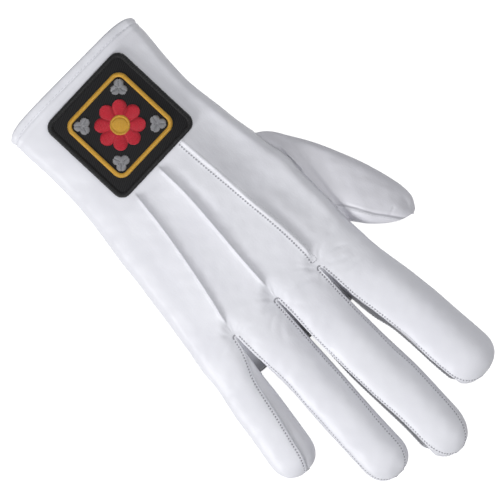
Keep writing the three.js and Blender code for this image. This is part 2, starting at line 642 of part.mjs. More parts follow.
// Places round a square with round corners
function squareRing(side, corner) {
  const straight = side / 2 - corner;
  const ring = [];
  for (let quarter = 0; quarter < 4; quarter += 1) {
    const turned = (along, out) => {
      const a = quarter * 90 * RAD;
      return { u: out * Math.cos(a) - along * Math.sin(a), v: out * Math.sin(a) + along * Math.cos(a) };
    };
    for (const t of steps(SQUARE_STEPS).slice(1)) ring.push(turned(mix(-straight, straight, t), side / 2));
    for (const t of steps(CORNER_STEPS).slice(1)) {
      const a = t * 90 * RAD;
      ring.push(turned(straight + corner * Math.sin(a), straight + corner * Math.cos(a)));
    }
  }
  return ring;
}

// Places round a middle, with a radius that varies with the angle
function roundRing(radiusAt, count, at = { u: 0, v: 0 }) {
  return steps(count).slice(1).map((t) => {
    const a = 360 * t * RAD;
    return { u: at.u + radiusAt(a) * Math.cos(a), v: at.v + radiusAt(a) * Math.sin(a) };
  });
}

const glove = new THREE.Group();
function addPiece(name, geometry, finish) {
  const mesh = new THREE.Mesh(geometry, new THREE.MeshStandardMaterial({ metalness: 0, ...finish }));
  mesh.name = name;
  glove.add(mesh);
}

const LEATHER = { color: 0xe9e9f1, roughness: 0.5 };
const BLACK_CLOTH = { color: 0x212121, roughness: 0.85 };
const RED_THREAD = { color: 0xd8303f, roughness: 0.7 };
const GOLD_THREAD = { color: 0xd9b04c, roughness: 0.5 };
const SILVER_THREAD = { color: 0xa9a9ad, roughness: 0.5 };

const skinNormals = skin.normals();
for (const name of ["back_panel", "palm_panel", ...PALM_SLITS.map((_, k) => fourchetteOf(k)), "thumb"]) {
  addPiece(name, cutPiece(skin, skinNormals, name), LEATHER);
}

// Patch: twill inside a raised rim
const patchMiddle = { u: 0, v: 0 };
const twillTop = CLOTH_GAP + PATCH_THICKNESS;
const twillSide = PATCH_SIDE - 2 * (EDGING_WIDTH + SEAM_GAP);
const squareInside = (outer, side) => squareRing(side, PATCH_CORNER - (outer - side) / 2);
const twillRings = steps(TWILL_RINGS).slice(1).map((share) =>
  squareInside(PATCH_SIDE, twillSide).map(({ u, v }) => ({ u: u * share, v: v * share })));
const rimSides = [twillSide + 2 * SEAM_GAP, PATCH_SIDE - EDGING_WIDTH, PATCH_SIDE];
const rimRings = rimSides.map((side) => squareInside(PATCH_SIDE, side));
addPiece("patch", patchSheet(twillRings, CLOTH_GAP, twillTop, patchMiddle), BLACK_CLOTH);
addPiece("patch_edging", patchSheet(rimRings, CLOTH_GAP, CLOTH_GAP + EDGING_HEIGHT), BLACK_CLOTH);

// Motifs on the twill: a cord frame, a rosette with a boss, and a sprig in each corner
const motifLow = twillTop + SEAM_GAP;
const motifHigh = motifLow + MOTIF_HEIGHT;
const frameSides = [FRAME_SIDE - 2 * FRAME_WIDTH, FRAME_SIDE];
const frameRings = frameSides.map((side) => squareInside(FRAME_SIDE, side));
const lobe = (a, count) => Math.abs(Math.cos((count / 2) * a)) ** PETAL_POWER;
const petal = (a) => ROSETTE_RADIUS * (1 - PETAL_NOTCH * (1 - lobe(a, PETALS)));
const rosetteRings = [0, 0.5, 1].map((share) =>
  roundRing((a) => mix(BOSS_RADIUS + SEAM_GAP, petal(a), share), PETALS * PETAL_STEPS));
addPiece("frame_cord", patchSheet(frameRings, motifLow, motifHigh), GOLD_THREAD);
addPiece("rosette", patchSheet(rosetteRings, motifLow, motifHigh), RED_THREAD);
const bossRing = roundRing(() => BOSS_RADIUS, BOSS_STEPS);
addPiece("rosette_boss", patchSheet([bossRing], motifLow, motifHigh, patchMiddle), GOLD_THREAD);
for (let corner = 0; corner < 4; corner += 1) {
  const diagonal = (corner * 90 + 45) * RAD;
  const at = { u: SPRIG_REACH * Math.cos(diagonal), v: SPRIG_REACH * Math.sin(diagonal) };
  const leaf = (a) => (SPRIG_LENGTH / 4) * (1 + lobe(a - diagonal, SPRIG_LEAVES));
  const leafRings = [0.5, 1].map((share) => roundRing((a) => share * leaf(a), SPRIG_STEPS, at));
  addPiece(`sprig_${corner + 1}`, patchSheet(leafRings, motifLow, motifHigh, at), SILVER_THREAD);
}

// The origin is under the middle of the glove, on the surface that it rests on
const box = new THREE.Box3().setFromObject(glove);
glove.position.set(-(box.min.x + box.max.x) / 2, -(box.min.y + box.max.y) / 2, -box.min.z);
const part = new THREE.Group();
part.add(glove);
export default part;
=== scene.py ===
import bpy
import numpy as np
from mathutils import Matrix, Vector
from mathutils.bvhtree import BVHTree
from mathutils.kdtree import KDTree


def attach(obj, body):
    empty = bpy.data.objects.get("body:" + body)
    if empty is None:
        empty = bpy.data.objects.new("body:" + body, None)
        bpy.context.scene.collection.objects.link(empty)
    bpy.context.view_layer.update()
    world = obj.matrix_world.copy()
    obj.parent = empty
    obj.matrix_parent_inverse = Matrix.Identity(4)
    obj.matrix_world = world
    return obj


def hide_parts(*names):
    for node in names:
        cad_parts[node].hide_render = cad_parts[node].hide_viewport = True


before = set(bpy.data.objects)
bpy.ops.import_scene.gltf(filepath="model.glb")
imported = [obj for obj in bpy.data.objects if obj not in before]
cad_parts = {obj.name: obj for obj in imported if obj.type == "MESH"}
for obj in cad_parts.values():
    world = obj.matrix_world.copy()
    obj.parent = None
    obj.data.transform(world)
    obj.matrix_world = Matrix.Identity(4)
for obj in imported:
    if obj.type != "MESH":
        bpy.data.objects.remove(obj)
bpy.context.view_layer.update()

MILLIMETRE = 0.001
FRAME_PLACE = np.array([4.801, -128.139, 0.0])
LOWEST = np.array([-1e4, -1e4, 0.0])  # the floor

# Driving sizes, as in the part's source apart from the height and the dip at the finger slits
# and the place where the points start
HAND_LENGTH, KNUCKLE_WIDTH, HAND_HEIGHT, SIDE_HEIGHT = 147.0, 99.6, 23.0, 10.5
PALM_SLIT_SETBACK, SLIT_HEIGHT = 21.0, 17.2
SLIT_DIP, SLIT_DIP_START, SLIT_DIP_END = 13.0, 2.5, 5.0
UNDER_TURN, CUFF_CORNER = 9.0, 3.4
POINT_WIDTH, POINT_START = 2.4, 58.0
THUMB_ROOT, THUMB_LENGTH, THUMB_SPREAD, THUMB_HEIGHT = 82.0, 80.0, 30.5, 15.0
THUMB_ROOT_SHARE = 0.765
PATCH_SIDE, PATCH_CORNER, PATCH_FROM_CUFF, PATCH_ASIDE, PATCH_TURN = 50.8, 5.0, 35.2, -1.5, 1.5
EDGING_WIDTH, FRAME_SIDE, FRAME_WIDTH = 2.2, 37.5, 1.7
ROSETTE_RADIUS, BOSS_RADIUS, PETALS, PETAL_NOTCH, PETAL_POWER = 12.2, 4.3, 8, 0.28, 0.6
SPRIG_LENGTH, SPRIG_LEAVES, SPRIG_REACH = 8.6, 3, 17.5
HAND_TOP_POWER, HAND_UNDER_POWER, HAND_CROWN, CUFF_SIDE = 5.0, 6.0, 0.2, 0.85
CUFF_CURVE_POWER, CUFF_CURVE_REACH = 9.0, 0.14
FINGER_POWER, UNDER_POWER, TIP_POWER, TIP_HEIGHT, TIP_SEAM = 2.35, 2.8, 2.3, 0.9, 0.24
WAIST, PRESSED, FREE_SHARE, SIDE_SETBACK = 0.43, 0.6, 0.34, 0.35
PALM_SEAM_ANGLE, THUMB_UNDER_ANGLE = -48.0, -62.0

# Sizes that only the looks need
SLIT_START = 0.56  # width of a finger slit at its point
LEATHER = 1.0  # leather's thickness
SKIVED = 0.55  # its thickness where a seam laps it
HEM = 2.0  # leather turned in and doubled at the cuff
HEM_DEPTH = 7.0
HEM_STITCHES = 4.2  # from the cuff edge to the row of stitches
FINGER_FLATTER = (2.5, 2.9)  # how flat a finger's back is towards its two sides
# Rises and dips of the leather, in rows of place, half width and height. The places are shares
# of a finger's half width, or millimetres from a side edge, the cuff edge or a seam's edge.
FINGER_CROWN, FINGER_SHOULDERS = ((-0.12, 0.5, 1.1),), ((0.72, 0.2, -0.15),)
THUMB_SIDE = ((9.0, 5.0, -0.3), (3.0, 2.4, 0.8))
LITTLE_SIDE = ((13.0, 6.0, -0.6), (3.0, 1.8, 0.35))
HEM_RELIEF = ((HEM_STITCHES, 0.55, -0.38), (2.2, 1.4, 0.18), (HEM_DEPTH, 1.0, -0.22))
STITCH_INSET = 1.2  # from a seam's edge to its stitches
SEAM_RELIEF = ((0.0, 0.4, -0.16), (STITCH_INSET, 0.4, -0.1))
THUMB_FLAT, THUMB_TILT = 2.0, 1.6  # the thumb's back is flatter, and turned to the outside
THUMB_WEB, THUMB_WEB_ASIDE, THUMB_WEB_REACH = 1.6, -1.5, 4.5  # leather drawn over the thumb's root
PLEAT_EDGE, PLEAT_DEPTH = 0.97, 0.13  # shares of a finger's half width
PLEAT_END, PLEAT_FADE = 0.84, 0.11  # shares of a finger's length
CUFF_EVENED = 16.0  # the side edges near the cuff are evened up to here
CALM_FROM, CALM_OVER = 26.0, 8.0  # from the patch's middle, where the leather's waves start
SIDES_END, SIDES_FADE = 128.0, 18.0  # where the flat beside the side edges fades out
EDGE_ROUND, EDGE_STEPS = 0.27, 4  # bulge of a cut edge, and the steps round it
SEAM_GAP = 0.1  # how far a sewn edge stands back
SIDE_LOWER = 0.2  # how much lower than the back's leather a side strip lies
LAP_DROP = 0.42  # how much lower the leather under a lapped seam lies
STITCH_PITCH, STITCH_LENGTH, STITCH_RADIUS = 1.5, 0.85, 0.15

HAND_EDGE = {
    "along": (0.0, 0.08, 0.18, 0.28, 0.38, 0.48, 0.57, 0.65, 0.77, 0.89, 1.0, 1.2),
    "left": (-0.412, -0.406, -0.391, -0.382, -0.393, -0.412, -0.434, -0.444, -0.443, -0.441, -0.446, -0.46),
    "right": (0.408, 0.402, 0.4, 0.402, 0.412, 0.435, 0.453, 0.469, 0.496, 0.524, 0.552, 0.575),
    "height": (0.76, 0.79, 0.84, 0.89, 0.94, 0.98, 1.0, 1.0, 0.99, 0.94, 0.86, 0.75),
}
SLIT_LINES = {
    "along": (0.0, 0.42, 0.54, 0.68, 0.82, 0.93, 1.0, 1.17),
    "back": ((-0.135, -0.154, -0.165, -0.18, -0.196, -0.2, -0.192, -0.183),
             (0.004, 0.007, 0.007, 0.018, 0.036, 0.049, 0.062, 0.071),
             (0.125, 0.173, 0.19, 0.222, 0.264, 0.305, 0.324, 0.341)),
    "palm": ((-0.13, -0.15, -0.16, -0.168, -0.176, -0.18, -0.182, -0.183),
             (0.004, 0.01, 0.016, 0.028, 0.045, 0.058, 0.066, 0.071),
             (0.13, 0.17, 0.2, 0.235, 0.275, 0.305, 0.322, 0.341)),
}
ROOT_LINE = {
    "across": (-0.45, -0.19, 0.066, 0.33, 0.56),
    "back": (1.02, 1.014, 0.988, 0.977, 0.985),
    "setback": (0.95, 1.0, 1.12, 0.96, 0.9),
}
PALM_SLIT_WIDTHS = (1.6, 1.6, 4.2)
FOURCHETTES = ("fourchette_index_middle", "fourchette_middle_ring", "fourchette_ring_little")
FINGER_SIZES = ("name", "root", "rise", "length", "lean", "width", "height", "tip")
FINGERS = [dict(zip(FINGER_SIZES, sizes)) for sizes in (
    ("index", -0.323, 1.0, 92.3, -4.0, 27.2, 15.5, 13.0),
    ("middle", -0.062, 1.0, 109.0, 0.9, 25.6, 16.0, 16.5),
    ("ring", 0.196, 0.993, 97.9, 2.5, 23.8, 15.5, 13.0),
    ("little", 0.437, 0.993, 66.4, 9.5, 23.0, 14.5, 12.5),
)]
# At shares of a finger's length, in shares of its width: its half widths and its seams' insets
SHAPE_ROWS = ("along", "left", "right", "seam_left", "seam_right")
for finger, shape in zip(FINGERS, (
    ((0.0, 0.2, 0.38, 0.52, 0.78, 1.0),
     (0.465, 0.486, 0.503, 0.508, 0.504, 0.5), (0.467, 0.56, 0.535, 0.49, 0.505, 0.5),
     (0.0, 0.0, 0.0, 0.0, 0.0, 0.0), (0.03, 0.07, 0.08, 0.045, 0.045, 0.06)),
    ((0.0, 0.2, 0.4, 0.6, 0.8, 1.0),
     (0.457, 0.477, 0.49, 0.523, 0.504, 0.47), (0.457, 0.525, 0.52, 0.5, 0.473, 0.51),
     (0.03, 0.035, 0.04, 0.045, 0.05, 0.08), (0.03, 0.035, 0.045, 0.06, 0.07, 0.09)),
    ((0.0, 0.2, 0.36, 0.6, 0.8, 1.0),
     (0.52, 0.53, 0.535, 0.504, 0.496, 0.5), (0.504, 0.46, 0.455, 0.49, 0.5, 0.5),
     (0.03, 0.035, 0.035, 0.045, 0.07, 0.1), (0.03, 0.03, 0.03, 0.02, 0.02, 0.03)),
    ((0.0, 0.2, 0.4, 0.6, 0.8, 1.0),
     (0.45, 0.465, 0.49, 0.5, 0.504, 0.5), (0.491, 0.496, 0.5, 0.5, 0.5, 0.5),
     (0.035, 0.15, 0.23, 0.28, 0.33, 0.37), (0.0, 0.0, 0.0, 0.0, 0.0, 0.0)),
)):
    finger["shape"] = dict(zip(SHAPE_ROWS, shape))
THUMB_SECTIONS = {
    "outer_out": (0.145, 0.275, 0.46, 0.615, 0.74, 0.835, 0.915, 0.965, 0.96, 0.895, 0.86),
    "outer_on": (0.066, 0.145, 0.27, 0.4, 0.52, 0.63, 0.74, 0.845, 0.925, 0.975, 0.995),
    "inner_out": (0.05, 0.1, 0.16, 0.23, 0.31, 0.4, 0.5, 0.59, 0.67, 0.745, 0.77),
    "inner_on": (0.788, 0.815, 0.846, 0.876, 0.906, 0.936, 0.961, 0.981, 0.994, 1.0, 1.01),
    "height": (0.74, 0.86, 0.95, 1.0, 1.0, 0.98, 0.93, 0.82, 0.64, 0.4, 0.0),
    "lift": (0.0, 0.0, 0.0, 0.0, 0.0, 0.02, 0.07, 0.18, 0.36, 0.6, 1.0),
}
BACK_DENTS = {
    "across": (-0.25, -0.315, -0.235, -0.03, 0.13),
    "along": (0.54, 0.62, 0.85, 0.56, 1.06),
    "wide": (0.09, 0.065, 0.035, 0.03, 0.04),
    "long": (0.17, 0.34, 0.13, 0.1, 0.05),
    "depth": (0.06, 0.05, 0.07, 0.035, 0.05),
}

# The three raised points. At places along the hand: how far the crest stands aside from
# the slit's line, and how far its two slopes reach. Then its height, how much the crest
# adds, how much lower the leather lies on its thumb side, how far before the slit it
# ends, and where it starts.
POINT_PLACES = (58.0, 80.0, 100.0, 120.0, 140.0)
POINT_ROWS = ("aside", "thumb_reach", "far_reach", "height", "crest", "lower", "end", "start")
POINTS = [dict(zip(POINT_ROWS, values)) for values in (
    ((-0.4, -0.5, 0.05, 0.15, 0.0), (6.0, 6.0, 4.8, 4.4, 3.2), (1.3, 1.3, 1.3, 1.3, 1.4),
     1.2, 0.15, 0.6, 5.5, 58.0),
    ((-0.1, 0.0, 0.25, 0.35, 0.2), (2.2, 2.8, 2.2, 1.6, 1.2), (2.2, 2.3, 2.4, 2.3, 2.0),
     0.95, 0.75, 0.4, 7.5, 61.0),
    ((-0.3, 0.15, 0.4, 0.5, 0.5), (2.0, 2.0, 1.9, 1.8, 1.4), (2.2, 2.3, 2.4, 2.4, 2.2),
     0.75, 0.8, 0.35, 6.5, 62.0),
)]
SLOW_RIPPLE, FAST_RIPPLE = (26.0, 0.32), (9.0, 0.07)  # wave length and height
POINT_STITCHES = 1.45  # how far aside of the slit's line the first point's stitches lie
POINT_TOP, POINT_CREST = 0.14, 0.6  # rounding of a crest, and its half width
POINT_RISE, POINT_FALL = 4.0, 6.0  # lengths over which a point starts and ends
PUCKER_STRENGTH = (0.16, 0.26, 0.2)
PUCKER_SIDE = -0.3  # turn from +X, in radians, of the side with the deepest wrinkles

# Folds of the leather, seen from above: the path, half width and height of each
FOLDS = (
    (((-37.5, 56), (-38.5, 74), (-38.5, 96)), 2.6, 0.25),
    (((-30, 98), (-34, 112), (-35, 130)), 5.0, -0.35),
    (((10, 66), (12.5, 84), (15, 104)), 4.5, -0.25),
    (((27, 60), (31, 80), (35, 104), (39, 126)), 5.5, -0.25),
    (((-21.5, 149), (-27, 152), (-33, 155)), 0.9, -0.5),
    (((-22, 154.5), (-29, 158), (-37, 158.5)), 1.3, -0.45),
    (((-24, 151), (-30, 153), (-35, 152)), 0.7, 0.3),
    (((-17, 147.5), (-13, 142.5), (-9.5, 140)), 0.8, -0.45),
    (((-16, 151), (-10, 148), (-4, 147)), 1.2, -0.35),
    (((-20, 147), (-24, 143), (-30, 141)), 0.9, -0.4),
    (((-25, 146), (-31, 147), (-37, 151)), 0.7, -0.35),
    (((8.5, 146), (12, 144.5), (16, 145)), 0.7, -0.35),
    (((8.5, 149), (14, 150), (20.5, 154)), 0.9, -0.4),
    (((9, 152), (14.5, 156), (19, 163)), 1.4, -0.35),
    (((4.5, 146.5), (0, 145), (-4.5, 146.5)), 0.8, -0.3),
    (((4, 150), (0.5, 153), (-2, 158)), 1.0, -0.25),
    (((7.5, 143), (10, 139.5), (14, 138)), 0.8, -0.25),
    (((34.5, 146.5), (38, 147.5), (42, 147)), 0.7, -0.35),
    (((30.5, 144), (26, 143.5), (21, 145.5)), 0.9, -0.3),
    (((33.5, 142), (35.5, 138), (36, 133)), 0.8, -0.3),
    (((30, 148), (26.5, 152), (25.5, 157)), 1.0, -0.25),
    (((-43, 118), (-39, 124), (-33, 127)), 1.6, -0.3),
    (((-43, 134), (-38, 138.5), (-31, 141)), 1.8, -0.3),
    (((-28, 171), (-33, 173), (-40, 172.5)), 1.8, -0.22),
    (((46, 158), (51, 160), (56, 160)), 1.8, -0.25),
    (((-5, 176), (1, 178.5), (6, 178)), 1.8, -0.2),
    (((14, 176), (20, 178), (26, 177)), 1.8, -0.2),
)
THUMB_FOLDS = (
    (((-44, 115), (-49, 112), (-54, 106)), 1.6, -0.3),
    (((-44, 124), (-50, 122), (-58, 116)), 2.0, -0.2),
    (((-46, 119), (-45, 123), (-44, 128)), 1.2, 0.25),
    (((-64.5, 153.6), (-61, 154.8), (-58.5, 154.4)), 0.6, -0.45),
    (((-46, 134), (-52, 133.5), (-58, 129)), 2.0, -0.15),
)
THUMB_SEAM = ((-42.6, 128.6), (-45, 132.5), (-50, 140.5), (-55, 149.5), (-60, 156.5), (-63.4, 161.3))

WEB_DROP = (1.15, 1.15, 1.5)  # how long the leather between two fingers stays high before it drops
ABOVE = 60.0  # a height over the whole glove
FAR = 9.0  # a distance from a seam that counts as none near

# Fineness of the meshes: columns of a finger's back and palm, of a slit and of a side
STRIP, PALM_STRIP, POINT, SIDE = 30, 14, 10, 12
PALM_FROM, PALM_TO = STRIP + SIDE, STRIP + SIDE + PALM_STRIP
ROW, THUMB_ROWS = 1.0, 88
INSIDE = np.linspace(0, 1, SIDE + 1)[1:-1]  # shares down a side, without its ends
seeded = np.random.default_rng(11)


def mix(a, b, share):
    return a + (b - a) * share


def smooth(x):
    x = np.clip(x, 0.0, 1.0)
    return x * x * (3.0 - 2.0 * x)


def bell(x):
    return np.exp(-x * x)


def bells(at, rows):
    return sum(height * bell((at - place) / half) for place, half, height in rows)


def signed_power(x, power):
    return np.sign(x) * np.abs(x) ** power


def unit(ways):
    return ways / np.maximum(np.linalg.norm(ways, axis=-1, keepdims=True), 1e-9)


def lengths_along(path):
    """The length from a path's start to each of its places."""
    return np.concatenate([[0], np.cumsum(np.linalg.norm(np.diff(path, axis=0), axis=1))])


def read_at(want, on, values):
    return np.stack([np.interp(want, on, column) for column in values.T], -1)


def turned(angle):
    """Matrix of a turn seen from above, in radians."""
    return np.array([[np.cos(angle), -np.sin(angle)], [np.sin(angle), np.cos(angle)]])


def spaced(count, start, end):
    """Shares from 0 to 1, closer together at the start and the end."""
    gaps = np.interp(np.linspace(0, 1, count), (0, 0.28, 0.72, 1), (start, 1, 1, end))
    return np.concatenate([[0.0], np.cumsum(gaps) / gaps.sum()])


def through(xs, rows, at):
    """Smooth curve through rows of values, read at a place."""
    xs, rows = np.asarray(xs, float), np.asarray(rows, float)
    at = np.clip(np.asarray(at, float), xs[0], xs[-1])
    i = np.clip(np.searchsorted(xs, at, side="left") - 1, 0, len(xs) - 2)
    before, after = np.arange(len(xs)) - 1, np.arange(len(xs)) + 1
    before, after = np.maximum(before, 0), np.minimum(after, len(xs) - 1)
    wide = (slice(None),) + (None,) * (rows.ndim - 1)
    slopes = (rows[after] - rows[before]) / (xs[after] - xs[before])[wide]
    span = xs[i + 1] - xs[i]
    t = (at - xs[i]) / span
    if rows.ndim > 1:
        t, span = t[wide], span[wide]
    lean = t * (1 - t) * span * ((1 - t) * slopes[i] - t * slopes[i + 1])
    return mix(rows[i], rows[i + 1], smooth(t)) + lean


def hand_edge(y, column):
    return through(HAND_EDGE["along"], HAND_EDGE[column], y / HAND_LENGTH)


def hand_left(y):
    return KNUCKLE_WIDTH * hand_edge(y, "left")


def hand_right(y):
    return KNUCKLE_WIDTH * hand_edge(y, "right")


def side_height(y):
    return SIDE_HEIGHT * mix(CUFF_SIDE, 1.0, smooth(2 * y / HAND_LENGTH))


def slit_line(panel, k, y):
    return KNUCKLE_WIDTH * through(SLIT_LINES["along"], SLIT_LINES[panel][k], y / HAND_LENGTH)


def back_end(x):
    return HAND_LENGTH * through(ROOT_LINE["across"], ROOT_LINE["back"], x / KNUCKLE_WIDTH)


def setback(x):
    return PALM_SLIT_SETBACK * through(ROOT_LINE["across"], ROOT_LINE["setback"], x / KNUCKLE_WIDTH)


def palm_end(x):
    return back_end(x) + setback(x)


def across_hand(x, y):
    left, right = hand_left(y), hand_right(y)
    return np.clip((2 * x - left - right) / (right - left), -1.0, 1.0)


def back_height(x, y):
    u = np.abs(across_hand(x, y))
    arch = np.sqrt(1 - u ** HAND_TOP_POWER)
    z = mix(side_height(y), HAND_HEIGHT * hand_edge(y, "height"), arch * (1 - HAND_CROWN * u * u))
    for across, along, wide, long, depth in zip(*BACK_DENTS.values()):
        off = bell((x / KNUCKLE_WIDTH - across) / wide) * bell((y / HAND_LENGTH - along) / long)
        z = z - HAND_HEIGHT * depth * off * arch
    for k in range(3):
        start = back_end(slit_line("back", k, HAND_LENGTH)) - SLIT_DIP
        near = smooth((y - start) / SLIT_DIP)
        aside = (x - slit_line("back", k, y)) / mix(SLIT_DIP_START, SLIT_DIP_END, near)
        z = mix(z, np.minimum(z, SLIT_HEIGHT), near * bell(aside))
    return z


def palm_height(x, y):
    u = np.abs(across_hand(x, y))
    rise = 1 - np.sqrt(1 - u ** HAND_UNDER_POWER)
    return np.maximum(0, (side_height(y) + PRESSED) * rise - PRESSED)


def cuff_curve(x, share):
    fade = 1 - smooth(share / CUFF_CURVE_REACH)
    return CUFF_CORNER * fade * np.abs(across_hand(x, 0 * x)) ** CUFF_CURVE_POWER


def from_path(x, y, path):
    """Distance to a path seen from above, signed to its right, and share along it."""
    points = np.asarray(path, float)
    lengths = np.linalg.norm(np.diff(points, axis=0), axis=1)
    best = np.full(np.shape(x), 1e9)
    share = np.zeros(np.shape(x))
    signed = np.zeros(np.shape(x))
    for i, (a, b) in enumerate(zip(points[:-1], points[1:])):
        d = (b - a) / lengths[i]
        on = np.clip((x - a[0]) * d[0] + (y - a[1]) * d[1], 0, lengths[i])
        dx, dy = x - a[0] - on * d[0], y - a[1] - on * d[1]
        off = np.hypot(dx, dy)
        nearer = off < best
        best = np.where(nearer, off, best)
        share = np.where(nearer, (lengths[:i].sum() + on) / lengths.sum(), share)
        signed = np.where(nearer, np.sign(dx * d[1] - dy * d[0]) * off, signed)
    return signed, share


def folds_at(x, y, folds):
    total = np.zeros(np.shape(x))
    for path, half, height in folds:
        off, share = from_path(x, y, path)
        total += height * bell(off / half) * smooth(share * 4) * smooth((1 - share) * 3)
    return total


def ripple(at, size, amount, waves=9):
    """Slow waves of the leather in all directions, in millimetres."""
    total = np.zeros(at.shape[:-1])
    for _ in range(waves):
        way = seeded.normal(size=3)
        way *= 2 * np.pi / (size * seeded.uniform(0.6, 1.6)) / np.linalg.norm(way)
        total += np.sin(at @ way + seeded.uniform(0, 2 * np.pi))
    return total * amount / np.sqrt(waves)


def points_at(x, y):
    """Relief of the three raised points on the back."""
    total = np.zeros(np.shape(x))
    for k, point in enumerate(POINTS):
        off = x - slit_line("back", k, y) - np.interp(y, POINT_PLACES, point["aside"])
        from_top = np.sqrt(off * off + POINT_TOP ** 2) - POINT_TOP
        end = back_end(slit_line("back", k, HAND_LENGTH)) - point["end"]
        rise = smooth((y - point["start"]) / POINT_RISE) * smooth((end - y) / POINT_FALL)
        thumb_side = np.exp(-(from_top / np.interp(y, POINT_PLACES, point["thumb_reach"])) ** 1.5)
        far_side = np.exp(-(from_top / np.interp(y, POINT_PLACES, point["far_reach"])) ** 1.25)
        lower = point["lower"] * (1 - thumb_side) * (1 - smooth((-off - 9) / 12))
        crest = point["crest"] * np.exp(-(from_top / POINT_CREST) ** 1.5)
        height = point["height"]
        total += rise * (crest + np.where(off < 0, height * thumb_side - lower, height * far_side))
    return total


def flat_sides(x, y):
    """Flattens the back beside its two side edges, which roll down sharply."""
    return bells(x - hand_left(y), THUMB_SIDE) + bells(hand_right(y) - x, LITTLE_SIDE)


def puckers_at(x, y):
    """Short fine wrinkles that run into each slit's point."""
    total = np.zeros(np.shape(x))
    for k, strength in enumerate(PUCKER_STRENGTH):
        px = slit_line("back", k, HAND_LENGTH)
        dx, dy = x - px, y - back_end(px) + 1.0
        away, turn = np.hypot(dx, dy), np.arctan2(dy, dx)
        wave = sum(
            np.sin(turn * n + seeded.uniform(0, 2 * np.pi) + away * seeded.uniform(-0.25, 0.25))
            for n in (9, 13, 19))
        facing = mix(0.3, 1.0, bell(np.angle(np.exp(1j * (turn - PUCKER_SIDE))) / 1.1))
        fade = smooth((away - 1.2) / 2.0) * np.exp(-away / 5.0) * np.minimum(1, away / 4)
        total += strength * facing * wave * fade
    return total


class Skin:
    """The glove's outside as one mesh of shared places, from which each piece is cut."""

    def __init__(self):
        self.rows = []
        self.count = 0
        self.faces = {}

    def add(self, places):
        places = np.asarray(places, float)
        shape = places.shape[:-1]
        made = self.count + np.arange(int(np.prod(shape))).reshape(shape)
        self.rows.append(places.reshape(-1, 3))
        self.count += made.size
        return made

    @property
    def at(self):
        if len(self.rows) > 1:
            self.rows = [np.concatenate(self.rows)]
        return self.rows[0]

    def cloth(self, piece, grid):
        """Faces of a piece between the rows and columns of a grid of places."""
        quads = np.stack([grid[:-1, :-1], grid[:-1, 1:], grid[1:, 1:], grid[1:, :-1]], -1).reshape(-1, 4)
        self.faces.setdefault(piece, []).append(quads)

    def piece(self, name):
        return np.concatenate(self.faces[name])

    def normals(self, at):
        total = np.zeros_like(at)
        for quads in self.faces.values():
            for q in quads:
                facing = np.cross(at[q[:, 2]] - at[q[:, 0]], at[q[:, 3]] - at[q[:, 1]])
                for corner in range(4):
                    np.add.at(total, q[:, corner], facing)
        return total / np.maximum(np.linalg.norm(total, axis=1), 1e-9)[:, None]


# The hand's skin

skin = Skin()
SIDE_GAP, SLIT_GAP, PALM_GAP = 0.05, 0.38, 0.3  # a strip's outermost columns, against the others
STRIP_SHARES = [
    spaced(STRIP, SIDE_GAP if f == 0 else SLIT_GAP, SIDE_GAP if f == 3 else SLIT_GAP) for f in range(4)]
PALM_SHARES = spaced(PALM_STRIP, PALM_GAP, PALM_GAP)


def hand_grid(shares):
    """Places of the hand for rows at shares of the way to the finger roots."""
    s = np.asarray(shares)[:, None]
    along = s * HAND_LENGTH

    def line_x(panel, k, end):
        return slit_line(panel, k, s * end(slit_line(panel, k, along)))

    def on_back(x, lean):
        y = s * (back_end(x) + setback(x) * SIDE_SETBACK * lean) + cuff_curve(x, s)
        return np.stack([x, y, back_height(x, y)], -1)

    def on_palm(x):
        y = s * palm_end(x) + cuff_curve(x, s)
        return np.stack([x, y, palm_height(x, y)], -1)

    def on_side(edge, towards, turns):
        at = edge(along)
        y = s * (back_end(at) + setback(at) * mix(SIDE_SETBACK, 1, turns)) + cuff_curve(at, s)
        x = edge(y) + towards * UNDER_TURN * turns
        z = np.where(turns > 0, palm_height(x, y), side_height(y))
        return np.stack([x, y, z], -1)

    turns = np.linspace(0, 1, SIDE + 1)[None, :] ** 2
    sides = [on_side(hand_left, 1, turns), on_side(hand_right, -1, turns)]
    back_half = mix(POINT_WIDTH, SLIT_START, smooth(s * 10 - 9)) / 2
    over, under = [], []
    inside = np.linspace(-1, 1, POINT + 1)[None, 1:-1]
    palm_half = [mix(POINT_WIDTH, width, s) / 2 for width in PALM_SLIT_WIDTHS]
    for f in range(4):
        left = hand_left(along) if f == 0 else line_x("back", f - 1, back_end) + back_half
        right = hand_right(along) if f == 3 else line_x("back", f, back_end) - back_half
        t = STRIP_SHARES[f][None, :]
        lean = (1 - t) ** 3 if f == 0 else t ** 3 if f == 3 else 0 * t
        back = on_back(mix(left, right, t), lean)
        left = sides[0][:, -1:, 0] if f == 0 else line_x("palm", f - 1, palm_end) + palm_half[f - 1]
        right = sides[1][:, -1:, 0] if f == 3 else line_x("palm", f, palm_end) - palm_half[f]
        palm = on_palm(mix(left, right, PALM_SHARES[None, :]))
        if f == 0:
            back[:, 0], palm[:, 0] = sides[0][:, 0], sides[0][:, -1]
        if f == 3:
            back[:, -1], palm[:, -1] = sides[1][:, 0], sides[1][:, -1]
        over.append(back)
        under.append(palm)
        if f < 3:
            over.append(on_back(line_x("back", f, back_end) + back_half * inside, 0))
            under.append(on_palm(line_x("palm", f, palm_end) + palm_half[f] * inside))
    return np.concatenate(over, 1), np.concatenate(under, 1), sides[0][:, 1:-1], sides[1][:, 1:-1]


def rows_between(start, end, length=ROW):
    count = max(1, int(round((end - start) * HAND_LENGTH / length)))
    return np.linspace(start, end, count + 1)[1:]


